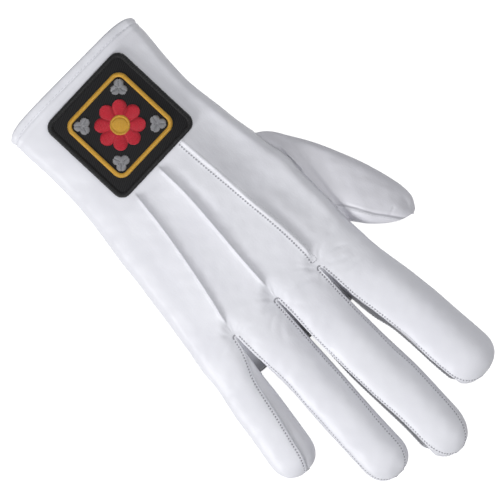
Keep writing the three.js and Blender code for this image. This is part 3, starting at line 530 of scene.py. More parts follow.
side_end = back_end(hand_left(HAND_LENGTH)) + setback(hand_left(HAND_LENGTH)) * SIDE_SETBACK
thumb_root = THUMB_LENGTH * THUMB_ROOT_SHARE
hole_start, hole_end = THUMB_ROOT / side_end, (THUMB_ROOT + thumb_root) / side_end
hem_rows = np.array((0.9, 1.15, 1.5, 2.0, 2.6, 3.1, 3.5, 3.8, 4.1, 4.4, 4.7, 5.1, 5.6, 6.2, 6.8, 7.4))
hem_rows /= HAND_LENGTH
before_hole = np.concatenate([hem_rows, rows_between(hem_rows[-1], hole_start)])
in_hole = rows_between(hole_start, hole_end)
after_hole = rows_between(hole_end, 1.0, 0.7)
hand_shares = np.concatenate([before_hole, in_hole, after_hole])
hole_from, hole_to = len(before_hole) - 1, len(before_hole) + len(in_hole) - 1

over, under, left_turn, right_turn = (skin.add(places) for places in hand_grid(hand_shares))
back_strips, back_lines, palm_strips, palm_lines = [], [], [], []
for f in range(4):
    start = f * (STRIP + POINT)
    back_strips.append(over[:, start:start + STRIP + 1])
    back_lines.append(over[:, start + STRIP:start + STRIP + POINT + 1])
    start = f * (PALM_STRIP + POINT)
    palm_strips.append(under[:, start:start + PALM_STRIP + 1])
    palm_lines.append(under[:, start + PALM_STRIP:start + PALM_STRIP + POINT + 1])
left_side = np.concatenate([under[:, :1], left_turn[:, ::-1], over[:, :1]], 1)
right_side = np.concatenate([over[:, -1:], right_turn, under[:, -1:]], 1)
skin.cloth("back_panel", over)
skin.cloth("back_panel", right_side)
skin.cloth("back_panel", left_side[:hole_from + 1])
skin.cloth("back_panel", left_side[hole_to:])
skin.cloth("palm_panel", under[:, ::-1])

# The fingers' skin


def section(angle, height, flatter=(FINGER_POWER, FINGER_POWER)):
    """Share of the half width across, and height, at an angle round a finger.

    flatter gives the roundness of the back's left and right half, as seen from the cuff."""
    angle = np.radians(angle)
    power = 2 / np.where(angle >= 0, FINGER_POWER, UNDER_POWER)
    waist = WAIST * height
    sine = signed_power(np.sin(angle), power)
    across = signed_power(np.cos(angle), power)
    back = np.where(across < 0, flatter[0], flatter[1])
    sine = np.where(angle >= 0, np.maximum(0, 1 - np.abs(across) ** back) ** (1 / back), sine)
    up = waist + np.where(sine > 0, height - waist, waist + PRESSED) * sine
    return across, up


def ring_angles(left, right, under_angle, over_shares, palm_shares):
    """Angles of a ring's columns, for rows of left and right seam angles."""
    left, right = np.atleast_1d(left)[:, None], np.atleast_1d(right)[:, None]
    down = INSIDE[None]
    far = -180 - under_angle
    angles = np.concatenate([
        mix(left, right, over_shares[None, :]),
        mix(right, under_angle, down),
        mix(under_angle, far, palm_shares[None, :]) + 0 * left,
        mix(far, left - 360, down),
    ], 1)
    return np.where(angles < -180, angles + 360, angles)


def seam_angle(inset, half):
    return np.degrees(np.arccos(np.clip(1 - inset / half, 0, 1) ** (FINGER_POWER / 2)))


def finger_shape(finger, row, share):
    return through(finger["shape"]["along"], finger["shape"][row], share)


def finger_place(finger, along, across, up):
    left, right = (finger_shape(finger, row, along / finger["length"]) for row in ("left", "right"))
    to_tip = np.clip(1 - (finger["length"] - along) / finger["tip"], 0, 1)
    round_end = (1 - to_tip ** TIP_POWER) ** (1 / TIP_POWER)
    half = np.where(across > 0, right, left)
    offset = finger["width"] * half * np.maximum(round_end, TIP_SEAM) * across
    lean = np.radians(finger["lean"])
    return np.stack([
        finger["root"] * KNUCKLE_WIDTH + np.sin(lean) * along + np.cos(lean) * offset,
        finger["rise"] * HAND_LENGTH + np.cos(lean) * along - np.sin(lean) * offset,
        np.maximum(0, mix(WAIST * TIP_HEIGHT * finger["height"], up, round_end)),
    ], -1)


def pleated(across, up, share):
    """A finger's sections whose side strip folds in, by a share per row, under the back's edge."""
    folded, raised = across.copy(), up.copy()
    flat = across[:, PALM_FROM:PALM_TO + 1]
    folded[:, PALM_FROM:PALM_TO + 1] = np.where(flat > 0, flat * PLEAT_EDGE / flat[:, :1], flat)
    folded[:, STRIP + 1:PALM_FROM] = (
        mix(across[:, STRIP:STRIP + 1], PLEAT_EDGE, INSIDE) - PLEAT_DEPTH * np.sin(np.pi * INSIDE))
    raised[:, STRIP + 1:PALM_FROM] = mix(up[:, STRIP:STRIP + 1], up[:, PALM_FROM:PALM_FROM + 1], INSIDE)
    return mix(across, folded, share), mix(up, raised, share)


def closing_line(over_shares, palm_shares):
    """Shares across, from -1 to 1, of the line that closes a tip's columns."""
    side = np.ones(SIDE - 1)
    return np.concatenate([mix(-1, 1, over_shares), side, mix(1, -1, palm_shares), -side])


crowns = []  # places of the finger backs and the thumb, with their relief
fold_grids = []
for k in range(3):
    top, low = skin.at[back_lines[k][-1]][None], skin.at[palm_lines[k][-1]][None]
    web = mix(top, low, INSIDE[:, None, None])
    web[..., 2] = mix(top[..., 2], low[..., 2], INSIDE[:, None] ** WEB_DROP[k])
    fold_grids.append(np.concatenate([back_lines[k][-1:], skin.add(web), palm_lines[k][-1:]], 0))
    skin.cloth(FOURCHETTES[k], fold_grids[k])

finger_grids = []
for f, finger in enumerate(FINGERS):
    right = right_turn[-1] if f == 3 else fold_grids[f][1:-1, 0]
    left = left_turn[-1] if f == 0 else fold_grids[f - 1][1:-1, -1]
    root = np.concatenate([back_strips[f][-1], right, palm_strips[f][-1][::-1], left[::-1]])
    lean = np.radians(finger["lean"])
    axis = np.array([np.sin(lean), np.cos(lean), 0])
    start = np.array([finger["root"] * KNUCKLE_WIDTH, finger["rise"] * HAND_LENGTH, 0])
    roots = skin.at[root]
    round_rows = 1 - np.sin(np.radians(np.arange(0, 90, 5))) ** (2 / TIP_POWER)
    tips = 1 - finger["tip"] * round_rows / finger["length"]
    body = np.linspace(0, tips[0], int(finger["length"] * tips[0] / ROW))[1:-1]
    shares = np.concatenate([body, tips])
    left_half, right_half, left_inset, right_inset = (
        finger_shape(finger, row, shares) for row in SHAPE_ROWS[1:])
    angles = ring_angles(
        180 - seam_angle(left_inset, left_half), seam_angle(right_inset, right_half),
        PALM_SEAM_ANGLE, STRIP_SHARES[f], 1 - PALM_SHARES[::-1])
    root_along = (roots - start) @ axis
    along = mix(root_along[None, :], finger["length"], shares[:, None])
    heights = finger["height"] * mix(1, TIP_HEIGHT, along / finger["length"])
    across, up = section(angles, heights, FINGER_FLATTER)
    if f < 2:
        across, up = pleated(across, up, 1 - smooth((shares[:, None] - PLEAT_END) / PLEAT_FADE))
    held = roots[None] + axis * (along - root_along)[..., None]
    loose = smooth(shares / FREE_SHARE)[:, None]
    rows = mix(held, finger_place(finger, along, across, up), loose[..., None])
    closing = closing_line(STRIP_SHARES[f], PALM_SHARES)
    middle = WAIST * TIP_HEIGHT * finger["height"]
    tip = finger_place(finger, finger["length"] + 0 * closing, closing, middle + 0 * closing)
    grid = np.concatenate([root[None], skin.add(rows), skin.add(tip[None])])
    finger_grids.append(grid)
    back = across[:, :STRIP + 1]
    crown = bells(back, FINGER_CROWN) + bells(np.abs(back), FINGER_SHOULDERS)
    crowns.append((grid[1:-1, :STRIP + 1], crown * loose * smooth((1 - shares[:, None]) / 0.15)))
    closed = np.concatenate([grid, grid[:, :1]], 1)
    skin.cloth("back_panel", closed[:, :STRIP + 1])
    skin.cloth("back_panel" if f == 3 else FOURCHETTES[f], closed[:, STRIP:PALM_FROM + 1])
    skin.cloth("palm_panel", closed[:, PALM_FROM:PALM_TO + 1])
    skin.cloth("back_panel" if f == 0 else FOURCHETTES[f - 1], closed[:, PALM_TO:])

# The thumb's skin

waist_column, palm_column = over[hole_from:hole_to + 1, 0], under[hole_from:hole_to + 1, 0]
thumb_ring = np.concatenate([waist_column, left_turn[hole_to], palm_column[::-1], left_turn[hole_from][::-1]])
thumb_over = np.linspace(0, 1, len(waist_column))
root_x = hand_left(THUMB_ROOT + thumb_root / 2)
angles = ring_angles(180.0, 0.0, THUMB_UNDER_ANGLE, thumb_over, thumb_over)[0]
control = [skin.at[thumb_ring]]
last = len(THUMB_SECTIONS["height"]) - 1
for r in range(last + 1):
    row = {column: values[r] for column, values in THUMB_SECTIONS.items()}
    across, up = section(angles, THUMB_HEIGHT * max(row["height"], 1e-6))
    if r == last:
        across, up = closing_line(thumb_over, thumb_over), 0 * up
    ends = [np.array([root_x - THUMB_SPREAD * row[f"{end}_out"], THUMB_ROOT + THUMB_LENGTH * row[f"{end}_on"]])
            for end in ("outer", "inner")]
    flat = mix(ends[0][None, :], ends[1][None, :], (across[:, None] + 1) / 2)
    z = np.maximum(0, up + WAIST * THUMB_HEIGHT * row["lift"])
    control.append(np.concatenate([flat, z[:, None]], 1))
thumb_rows = through(np.arange(last + 2), np.array(control), np.linspace(0, last + 1, THUMB_ROWS))[1:]
thumb_grid = np.concatenate([thumb_ring[None], skin.add(thumb_rows)])
skin.cloth("thumb", np.concatenate([thumb_grid, thumb_grid[:, :1]], 1))
along_thumb = np.linspace(0, 1, len(thumb_grid))[:, None]
aside = section(angles, THUMB_HEIGHT)[0][None, :len(thumb_over)]
flatter = THUMB_TILT * aside * (1 - aside ** 6) - THUMB_FLAT * (1 - aside ** 2)
flatter = flatter * smooth(along_thumb / 0.15) * smooth((1 - along_thumb) / 0.2)
crowns.append((thumb_grid[:, :len(thumb_over)], flatter))

# Seams and folds

base = skin.at
base[:, 2] = np.maximum(base[:, 2], 0)
cuff_rows = hand_shares * HAND_LENGTH < CUFF_EVENED
for across, turn in ((over[:, ::-1], right_turn), (over, left_turn)):
    edge, inside, outside = across[cuff_rows, 0], across[cuff_rows, 1], turn[cuff_rows, 0]
    base[edge] = mix(base[inside], base[outside], 0.5)
normals = skin.normals(base)


class Seam:
    """A sewn edge: places along it, the way into the leather that laps, and its length."""

    def __init__(self, places, inside):
        at, way = base[places], base[inside] - base[places]
        keep = np.concatenate([[True], np.linalg.norm(np.diff(at, axis=0), axis=1) > 1e-4])
        self.at, way, self.up = at[keep], way[keep], normals[places][keep]
        for across in (unit(np.gradient(self.at, axis=0)), self.up):
            way -= across * np.sum(way * across, axis=1)[:, None]
        self.way = unit(way)
        self.on = lengths_along(self.at)

    def read(self, spacing, inset=0.0, start=0.0):
        """Places at a spacing along the seam, set into the leather, and how far along they are."""
        on = np.arange(start, self.on[-1] - start, spacing)
        at, way = read_at(on, self.on, self.at), read_at(on, self.on, self.way)
        return on, at + way * inset


def finger_seam(grid, left_sewn, right_sewn):
    """The sewn edges of a finger's back, from slit to slit round the tip."""
    runs = [(grid[-1, 1:STRIP], np.full(STRIP - 1, grid[-4, STRIP // 2]))]
    if left_sewn:
        runs.insert(0, (grid[:, 0], grid[:, 5]))
    if right_sewn:
        runs.append((grid[::-1, STRIP], grid[::-1, STRIP - 5]))
    return Seam(*(np.concatenate(run) for run in zip(*runs)))


def palm_seam(grid):
    """The sewn edges of a finger's palm side."""
    inner = np.full(PALM_STRIP - 1, grid[-4, PALM_FROM + PALM_STRIP // 2])
    return Seam(
        np.concatenate([grid[:, PALM_TO], grid[-1, PALM_FROM + 1:PALM_TO][::-1], grid[::-1, PALM_FROM]]),
        np.concatenate([grid[:, PALM_TO - 3], inner, grid[::-1, PALM_FROM + 3]]))


back_seams = [finger_seam(grid, f > 0, f < 3) for f, grid in enumerate(finger_grids)]
palm_seams = [palm_seam(grid) for grid in finger_grids]
palm_seams += [Seam(under[:hole_from + 1, 0], under[:hole_from + 1, 3]), Seam(under[:, -1], under[:, -4])]


def near_seams(at, seams):
    """Distance from each place to the nearest seam, and how far along it that is."""
    samples = [seam.read(0.25) for seam in seams]
    on = np.concatenate([s[0] for s in samples])
    spots = np.concatenate([s[1] for s in samples])
    tree = KDTree(len(spots))
    for i, spot in enumerate(spots):
        tree.insert(spot, i)
    tree.balance()
    off, along = np.full(len(at), FAR), np.zeros(len(at))
    for i, place in enumerate(at):
        _, nearest, distance = tree.find(place)
        if distance < FAR:
            off[i], along[i] = distance, on[nearest]
    return off, along


def seam_sheets(piece, seams):
    """Distance to a panel's seams, and how far along them, for all places of the skin."""
    off, on = np.full(len(base), FAR), np.zeros(len(base))
    used = np.unique(np.concatenate([skin.piece(name).ravel() for name in (piece, *FOURCHETTES)]))
    off[used], on[used] = near_seams(base[used], seams)
    return off, on


off_back, on_back_seam = seam_sheets("back_panel", back_seams)
off_palm, on_palm_seam = seam_sheets("palm_panel", palm_seams)
x, y, z = base.T
on_top = smooth((normals[:, 2] + 0.05) / 0.5)
from_patch = np.maximum(np.abs(x + 1), np.abs(y - PATCH_FROM_CUFF))
beside_patch = smooth((from_patch - CALM_FROM) / CALM_OVER)
is_thumb = np.isin(np.arange(len(base)), skin.piece("thumb"))
is_hand = ~is_thumb
relief = np.zeros(len(base))
for places, crown in crowns:
    relief[places] += crown
relief += ripple(base, *SLOW_RIPPLE) * mix(0.4, 1.0, on_top) * beside_patch
relief += ripple(base, *FAST_RIPPLE) * on_top * beside_patch
back_forms = folds_at(x, y, FOLDS) + points_at(x, y) + puckers_at(x, y)
relief += np.where(is_hand, back_forms * on_top, 0)
side_forms = flat_sides(x, y) * on_top * (1 - smooth((y - SIDES_END) / SIDES_FADE))
relief += np.where(is_hand & (y < HAND_LENGTH), side_forms, 0)
relief += np.where(is_thumb, folds_at(x, y, THUMB_FOLDS) * on_top, 0)
root_share = smooth((y - THUMB_ROOT - 6) / 12) * smooth((THUMB_ROOT + thumb_root - 4 - y) / 12)
from_root = np.where(is_thumb, 0.8, 1.0) * np.abs(x - hand_left(y) - THUMB_WEB_ASIDE)
relief += np.where(y < HAND_LENGTH, THUMB_WEB * root_share * bell(from_root / THUMB_WEB_REACH) * on_top, 0)
seam_off, seam_share = from_path(x, y, THUMB_SEAM)
thumb_seam_end = smooth(seam_share * 6)
thumb_lip = 0.3 * smooth(seam_off + 0.5) * bell(np.maximum(seam_off, 0) / 4) - 0.35 * bell(seam_off / 0.8)
relief += np.where(is_thumb & (normals[:, 2] > 0.1), thumb_seam_end * thumb_lip, 0)
# The thumb's finish darkens a thin line along this seam: painted shade of the seam's groove.
thumb_line = np.where(is_thumb & (normals[:, 2] > -0.1), np.abs(seam_off) + 3 * (1 - thumb_seam_end), FAR)

# The hem: a rounded fold at the cuff edge and a dip along its stitches
hand_grids = (over, under, left_turn, right_turn)
on_hand = np.isin(np.arange(len(base)), np.concatenate([grid.ravel() for grid in hand_grids]))
from_cuff = np.where(on_hand, y - cuff_curve(x, y / HAND_LENGTH), 99)
relief += bells(from_cuff, HEM_RELIEF)
back_lip, palm_lip = (bells(off, SEAM_RELIEF) for off in (off_back, off_palm))
off_any = np.minimum(off_back, off_palm)
side_drop = -SIDE_LOWER - (LAP_DROP - 0.15) * bell(off_any / 1.1)

# The stitches beside the first raised point draw their needle holes as a seam's do, with the same painted
# shade in the holes.
stitches_start, stitches_end = POINT_START + 3, back_end(slit_line("back", 0, HAND_LENGTH)) - 4
beside = x - slit_line("back", 0, y) - POINT_STITCHES
close = is_hand & (np.abs(beside) < 3) & (y > stitches_start) & (y < stitches_end) & (z > 8)
off_back[close] = STITCH_INSET + np.maximum(beside[close], -0.7)
on_back_seam[close] = y[close]

# Making meshes


def make_object(name, places, faces, finishes, slots=None, sheets=None):
    """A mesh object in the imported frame, from millimetres. Each piece is smooth shaded."""
    mesh = bpy.data.meshes.new(name)
    mesh.from_pydata(((np.maximum(places, LOWEST) + FRAME_PLACE) * MILLIMETRE).tolist(), [], faces)
    for finish in finishes:
        mesh.materials.append(finish)
    if slots is not None:
        mesh.polygons.foreach_set("material_index", slots)
    for label, values in (sheets or {}).items():
        layer = mesh.attributes.new(label, "FLOAT", "POINT")
        layer.data.foreach_set("value", np.asarray(values, float))
    mesh.polygons.foreach_set("use_smooth", [True] * len(mesh.polygons))
    mesh.update()
    made = bpy.data.objects.new(name, mesh)
    bpy.context.scene.collection.objects.link(made)
    return made


def plain_face(corners):
    kept = [c for i, c in enumerate(corners) if c != corners[i - 1]]
    return kept if len(kept) > 2 else None


def cut_leather(name, quads, offset, wall, finishes, seams=None, hem=None):
    """A piece of leather with its outside, its inside and rounded cut edges.

    offset and wall give the outside's relief and the thickness at each place."""
    used, numbered = np.unique(quads, return_inverse=True)
    quads = numbered.reshape(-1, 4)
    count = len(used)
    starts = np.concatenate([quads[:, i] for i in range(4)])
    ends = np.concatenate([quads[:, (i + 1) % 4] for i in range(4)])
    on_edge = (starts != ends) & ~np.isin(starts * count + ends, ends * count + starts)
    starts, ends = starts[on_edge], ends[on_edge]
    at, up = base[used], normals[used]
    inward = np.zeros((count, 3))
    for side in (starts, ends):
        np.add.at(inward, side, unit(np.cross(up[side], at[ends] - at[starts])))
    inward = unit(inward)
    thick = wall[used]
    outer = at + up * offset[used][:, None] + inward * SEAM_GAP
    inner = outer - up * thick[:, None]
    rim = np.unique(np.concatenate([starts, ends]))
    number = np.full(count, -1)
    number[rim] = np.arange(len(rim))
    half = thick[rim] / 2
    bulge = np.full(len(rim), EDGE_ROUND) if hem is None else np.where(hem[used][rim], half, EDGE_ROUND)
    middle = (outer[rim] + inner[rim]) / 2
    loops, places = [rim], [outer, inner]
    for step in range(1, EDGE_STEPS):
        angle = np.pi * step / EDGE_STEPS
        places.append(middle + up[rim] * (half * np.cos(angle))[:, None]
                      - inward[rim] * (bulge * np.sin(angle))[:, None])
        loops.append(2 * count + (step - 1) * len(rim) + np.arange(len(rim)))
    loops.append(rim + count)
    places = np.concatenate(places)
    places[:, 2] = np.maximum(places[:, 2], 0)
    outside = [face for face in map(plain_face, quads.tolist()) if face]
    inside = [[c + count for c in reversed(face)] for face in outside]
    a, b = number[starts], number[ends]
    edges = np.concatenate([
        np.stack([lower[b], lower[a], upper[a], upper[b]], 1) for lower, upper in zip(loops[:-1], loops[1:])])
    edges = edges.tolist()
    slots = [0] * len(outside) + [1] * len(inside) + [0] * len(edges)
    sheets = {}
    for label, values in (seams or {}).items():
        sheets[label] = np.full(len(places), FAR)
        sheets[label][:count] = values[used]
    return make_object(name, places, outside + inside + edges, finishes, slots, sheets)


def sweep(paths, ups, radii, sides=5, flat=1.0):
    """Threads along paths: places and faces, with closed ends."""
    paths, ups = np.asarray(paths, float), np.asarray(ups, float)
    count, steps = paths.shape[:2]
    on = unit(np.gradient(paths, axis=1))
    side = unit(np.cross(on, ups[:, None]))
    rise = np.cross(side, on)
    turn = 2 * np.pi * np.arange(sides) / sides
    radii = np.broadcast_to(np.asarray(radii, float), (count, steps))[..., None, None]
    ring = side[:, :, None] * np.cos(turn)[:, None] + flat * rise[:, :, None] * np.sin(turn)[:, None]
    places = (paths[:, :, None] + radii * ring).reshape(-1, 3)
    first = (np.arange(count) * steps * sides)[:, None, None]
    step = (np.arange(steps - 1) * sides)[None, :, None]
    a = np.arange(sides)[None, None, :]
    b = (a + 1) % sides
    here, ahead = first + step, first + step + sides
    quads = np.stack([here + a, here + b, ahead + b, ahead + a], -1)
    starts = (first[:, 0] + np.arange(sides)[None, ::-1]).tolist()
    ends = (first[:, 0] + (steps - 1) * sides + np.arange(sides)[None, :]).tolist()
    return places, quads.reshape(-1, 4).tolist() + starts + ends


STITCH_TURNS = np.radians([172, 140, 115, 90, 65, 40, 8])
STITCH_ENDS = np.sin(np.radians([14, 52, 82, 90, 82, 52, 14]))


def stitch_row(spots, ups, length=STITCH_LENGTH, radius=STITCH_RADIUS, proud=0.05):
    """Places and faces of stitches that lie on the leather and dip into it at both ends."""
    t = np.cos(STITCH_TURNS) / 2
    arch = proud - 0.22 * (2 * t) ** 4
    ways = unit(np.gradient(spots, axis=0))
    paths = spots[:, None] + ways[:, None] * (t * length)[None, :, None] + ups[:, None] * arch[None, :, None]
    return sweep(paths, ups, radius * STITCH_ENDS[None, :], 6, 0.8)


class Surface:
    """A finished piece's outside, for laying stitches on it. Lengths in millimetres."""

    def __init__(self, piece):
        mesh = piece.data
        places = np.empty(len(mesh.vertices) * 3)
        mesh.vertices.foreach_get("co", places)
        places = places.reshape(-1, 3) / MILLIMETRE - FRAME_PLACE
        self.tree = BVHTree.FromPolygons(places.tolist(), [list(p.vertices) for p in mesh.polygons])

    def nearest(self, spots):
        found = [self.tree.find_nearest(spot) for spot in spots]
        return np.array([f[0] for f in found]), np.array([f[1] for f in found])

    def under(self, flat):
        """Places below points given from above, and the outside's normals there."""
        found = [self.tree.ray_cast(Vector((x, y, ABOVE)), Vector((0, 0, -1))) for x, y in flat]
        found = [f for f in found if f[0] is not None]
        return np.array([f[0] for f in found]), np.array([f[1] for f in found])


def join(parts):
    places, faces, total = [], [], 0
    for p, f in parts:
        places.append(p)
        faces += [[c + total for c in face] for face in f]
        total += len(p)
    return np.concatenate(places), faces


# Finishes


class Value:
    """A socket of a finish's nodes that takes part in sums."""

    def __init__(self, finish, socket):
        self.finish, self.socket = finish, socket

    def maths(self, operation, *others):
        return self.finish.node("ShaderNodeMath", {"operation": operation}, dict(enumerate((self, *others))))

    def __add__(self, other):
        return self.maths("ADD", other)

    def __sub__(self, other):
        return self.maths("SUBTRACT", other)

    def __mul__(self, other):
        return self.maths("MULTIPLY", other)

    def __rsub__(self, other):
        return self.finish.node("ShaderNodeMath", {"operation": "SUBTRACT"}, {0: other, 1: self})

    def within(self, low, high):
        """0 below low and 1 above high, with a smooth step between."""
        return self.finish.node("ShaderNodeMapRange", {"interpolation_type": "SMOOTHSTEP"},
                                {"Value": self, "From Min": low, "From Max": high})


class Finish:
    """A procedural finish. Sums come from Value, and every other node from node()."""

    def __init__(self, name, constants):
        self.material = bpy.data.materials.new(name)
        self.material.use_nodes = True
        self.tree = self.material.node_tree
        self.surface = self.tree.nodes["Principled BSDF"]
        for socket, value in constants.items():
            self.surface.inputs[socket].default_value = value
        place = self.node("ShaderNodeTexCoord", output="Object")
        self.place = self.node(
            "ShaderNodeVectorMath", {"operation": "SCALE"}, {0: place, "Scale": 1 / MILLIMETRE})

    def node(self, kind, settings=None, values=None, output=0):
        made = self.tree.nodes.new(kind)
        for setting, value in (settings or {}).items():
            setattr(made, setting, value)
        for socket, value in (values or {}).items():
            if isinstance(value, Value):
                self.tree.links.new(value.socket, made.inputs[socket])
            else:
                made.inputs[socket].default_value = value
        return Value(self, made.outputs[output])

    def noise(self, scale, detail=2.0, roughness=0.5, place=None):
        return self.node("ShaderNodeTexNoise", {}, {
            "Vector": place or self.place, "Scale": scale, "Detail": detail, "Roughness": roughness})

    def stretched(self, x, y, z):
        return self.node("ShaderNodeVectorMath", {"operation": "MULTIPLY"}, {0: self.place, 1: (x, y, z)})

    def sheet(self, label):
        return self.node("ShaderNodeAttribute", {"attribute_name": label}, output="Fac")

    def blend(self, first, second, share):
        return self.node("ShaderNodeMix", {"data_type": "RGBA"}, {0: share, 6: first, 7: second}, output=2)

    def feed(self, socket, value):
        self.tree.links.new(value.socket, self.surface.inputs[socket])

    def relief(self, height):
        """Feeds the normal with a height in millimetres."""
        self.feed("Normal", self.node("ShaderNodeBump", {}, {
            "Strength": 1.0, "Distance": MILLIMETRE, "Height": height}))


# Needle holes and a seam's edge are darkened with painted shade, for the shade that falls into them.
HOLE_RADII, PAINTED_SEAM_SHADE = (0.22, 0.54), (0.3, 0.3, 0.335, 1.0)
# Heights in millimetres over which the sides' painted shade fades out: full below the first, none above the
# second.
PAINTED_SHADE_HEIGHTS = (3.0, 9.5)


def leather_finish(name, light, shade, line=None, low_painted_shade=None):
    """Leather. line gives the width and strength of a painted shade line at a seam's edge, where it is
    sewn, and the last argument the colour of a painted shade low down, where little light reaches."""
    finish = Finish(name, {
        "Specular IOR Level": 0.42, "IOR": 1.46, "Sheen Weight": 0.06, "Sheen Roughness": 0.4})
    cloudy = finish.noise(0.035, 3.0, 0.55)
    colour = finish.blend(light, shade, cloudy.within(0.35, 0.75))
    grain = finish.noise(2.3, 3.0, 0.6)
    cells = finish.node("ShaderNodeTexVoronoi", {"feature": "SMOOTH_F1"}, {
        "Vector": finish.place, "Scale": 1.5, "Smoothness": 0.6, "Randomness": 1.0})
    lines = finish.noise(0.55, 3.0, 0.6, finish.stretched(1.0, 0.35, 1.0))
    streaks = finish.noise(0.2, 3.0, 0.6, finish.stretched(1.0, 0.5, 1.0))
    height = grain * 0.014 + cells * 0.018 + lines * 0.06 + streaks * 0.1
    if low_painted_shade:
        # Painted shade: the sides darken by height towards the bottom, where little light reaches.
        up = finish.node("ShaderNodeSeparateXYZ", {}, {0: finish.place}, output=2)
        colour = finish.blend(low_painted_shade, colour, up.within(*PAINTED_SHADE_HEIGHTS))
    if line:
        off, on = finish.sheet("seam_off"), finish.sheet("seam_on")
        beat = (on * (1 / STITCH_PITCH) + 0.5).maths("FRACT") - 0.5
        aside = off - STITCH_INSET
        spread = (aside * aside + beat * beat * STITCH_PITCH ** 2).maths("SQRT")
        hole = 1 - spread.within(*HOLE_RADII)
        edge = 1 - off.within(0.0, line[0])
        pull = (1 - aside.maths("ABSOLUTE").within(0.1, 1.5)) * (beat * beat)
        # Painted shade: the needle holes and the line at the seam's edge are darkened.
        for share in (hole * 0.85, edge * line[1]):
            colour = finish.blend(colour, PAINTED_SEAM_SHADE, share)
        height = height - hole * 0.2 + pull * 0.35
    finish.feed("Base Color", colour)
    finish.feed("Roughness", finish.noise(0.11, 2.0) * 0.1 + grain * 0.08 + 0.33)
    finish.relief(height)
    return finish.material


def thread_finish(name, colour, dark, roughness, fibre):
    finish = Finish(name, {"Specular IOR Level": 0.5, "Sheen Weight": 0.15, "Sheen Roughness": 0.35})
    strand = finish.noise(3.2, 2.0, 0.6)
    finish.feed("Base Color", finish.blend(colour, dark, strand.within(0.35, 0.8)))
    finish.feed("Roughness", finish.noise(1.1, 2.0) * 0.2 + roughness)
    finish.relief(finish.noise(fibre, 2.0, 0.6) * 0.05)
    return finish.material


def twill_finish(name):
    finish = Finish(name, {"Specular IOR Level": 0.25, "Sheen Weight": 0.12, "Sheen Roughness": 0.5})
    turned = finish.node("ShaderNodeVectorRotate", {"rotation_type": "Z_AXIS"}, {
        "Vector": finish.place, "Angle": np.radians(63 + PATCH_TURN)})
    rib = finish.node("ShaderNodeTexWave", {"bands_direction": "X"}, {
        "Vector": turned, "Scale": 0.34, "Distortion": 0.6, "Detail": 1.0, "Detail Scale": 2.0})
    weft = finish.node("ShaderNodeTexWave", {"bands_direction": "Y"}, {
        "Vector": turned, "Scale": 0.62, "Distortion": 0.4, "Detail": 1.0})
    weave = rib * 0.7 + weft * 0.3
    colour = finish.blend((0.004, 0.004, 0.005, 1.0), (0.016, 0.016, 0.017, 1.0), weave)
    worn = finish.noise(0.5, 3.0).within(0.6, 1.0)
    finish.feed("Base Color", finish.blend(colour, (0.02, 0.02, 0.021, 1.0), worn))
    finish.feed("Roughness", 0.78 - weave * 0.12)
    finish.relief(weave * 0.12)
    return finish.material


# The outside's leather gets a painted shade line along its seams' edges and painted shade in its needle holes.
white_leather = leather_finish(
    "white_leather_outside", (0.82, 0.824, 0.874, 1), (0.79, 0.793, 0.848, 1), (0.3, 0.15))
# The sides' leather is a darker copy of the white leather, darker still low down: painted shade of the walls
# between the fingers.
side_leather_painted_shade = leather_finish(
    "white_leather_sides_painted_shade", (0.72, 0.722, 0.766, 1), (0.68, 0.682, 0.73, 1), low_painted_shade=(0.42, 0.425, 0.46, 1))
# The thumb's leather is a darker copy of the white leather: painted shade of the thumb, which lies low beside
# the hand. Its seam line is painted shade too.
thumb_painted_shade = leather_finish(
    "white_leather_thumb_painted_shade", (0.735, 0.733, 0.782, 1), (0.715, 0.712, 0.764, 1), (0.75, 0.75))
leather_inside = leather_finish("white_leather_inside", (0.7, 0.69, 0.68, 1), (0.62, 0.61, 0.6, 1))
white_thread, black_thread, gold_thread, red_thread, silver_thread = (thread_finish(*looks) for looks in (
    ("white_sewing_thread", (0.74, 0.75, 0.8, 1), (0.6, 0.61, 0.66, 1), 0.5, 6.0),
    ("black_overlock_thread", (0.012, 0.012, 0.013, 1), (0.004, 0.004, 0.004, 1), 0.42, 5.0),
    ("gold_thread", (0.80, 0.47, 0.06, 1), (0.55, 0.27, 0.02, 1), 0.3, 6.0),
    ("red_thread", (0.66, 0.02, 0.045, 1), (0.4, 0.008, 0.02, 1), 0.36, 6.0),
    ("silver_thread", (0.36, 0.36, 0.38, 1), (0.2, 0.2, 0.21, 1), 0.34, 6.0),
))
black_twill = twill_finish("black_twill")

# Leather pieces

thickness = mix(LEATHER, SKIVED, bell(np.minimum(off_back, off_palm) / 1.3))
hem_thickness = mix(HEM, LEATHER, smooth((from_cuff - HEM_DEPTH + 0.8) / 0.9))
thickness = np.where(from_cuff < HEM_DEPTH + 0.2, hem_thickness, thickness)
even = np.ones(len(base))
hem_edge = np.zeros(len(base), bool)
hem_edge[np.concatenate([grid[0] for grid in hand_grids])] = True

back_leather, palm_leather = (
    cut_leather(name, skin.piece(piece), offset, thickness, [white_leather, leather_inside],
                {"seam_off": off, "seam_on": on}, hem_edge)
    for name, piece, offset, off, on in (
        ("back_leather", "back_panel", relief + back_lip, off_back, on_back_seam),
        ("palm_leather", "palm_panel", relief * 0.6 + palm_lip, off_palm, on_palm_seam)))

fourchette_leathers = []
LAPPED = 4  # columns of a side strip that lie under the panels sewn to it
for k, name in enumerate(FOURCHETTES):
    near, far = finger_grids[k], finger_grids[k + 1]
    far_closed = np.concatenate([far, far[:, :LAPPED]], 1)
    laps = Skin()
    for grid in (
        near[:-1, STRIP - LAPPED + 1:PALM_FROM + LAPPED], far_closed[:-1, PALM_TO - LAPPED + 1:],
        fold_grids[k], back_lines[k][-LAPPED:], palm_lines[k][-LAPPED:, ::-1],
    ):
        laps.cloth(name, grid)
    drop = relief * 0.3 + side_drop
    drop[np.setdiff1d(laps.piece(name), skin.piece(name))] = -LAP_DROP - 0.25
    fourchette_leathers.append(cut_leather(
        f"fourchette_leather_{k + 1}", laps.piece(name), drop, even * SKIVED, [side_leather_painted_shade, leather_inside]))

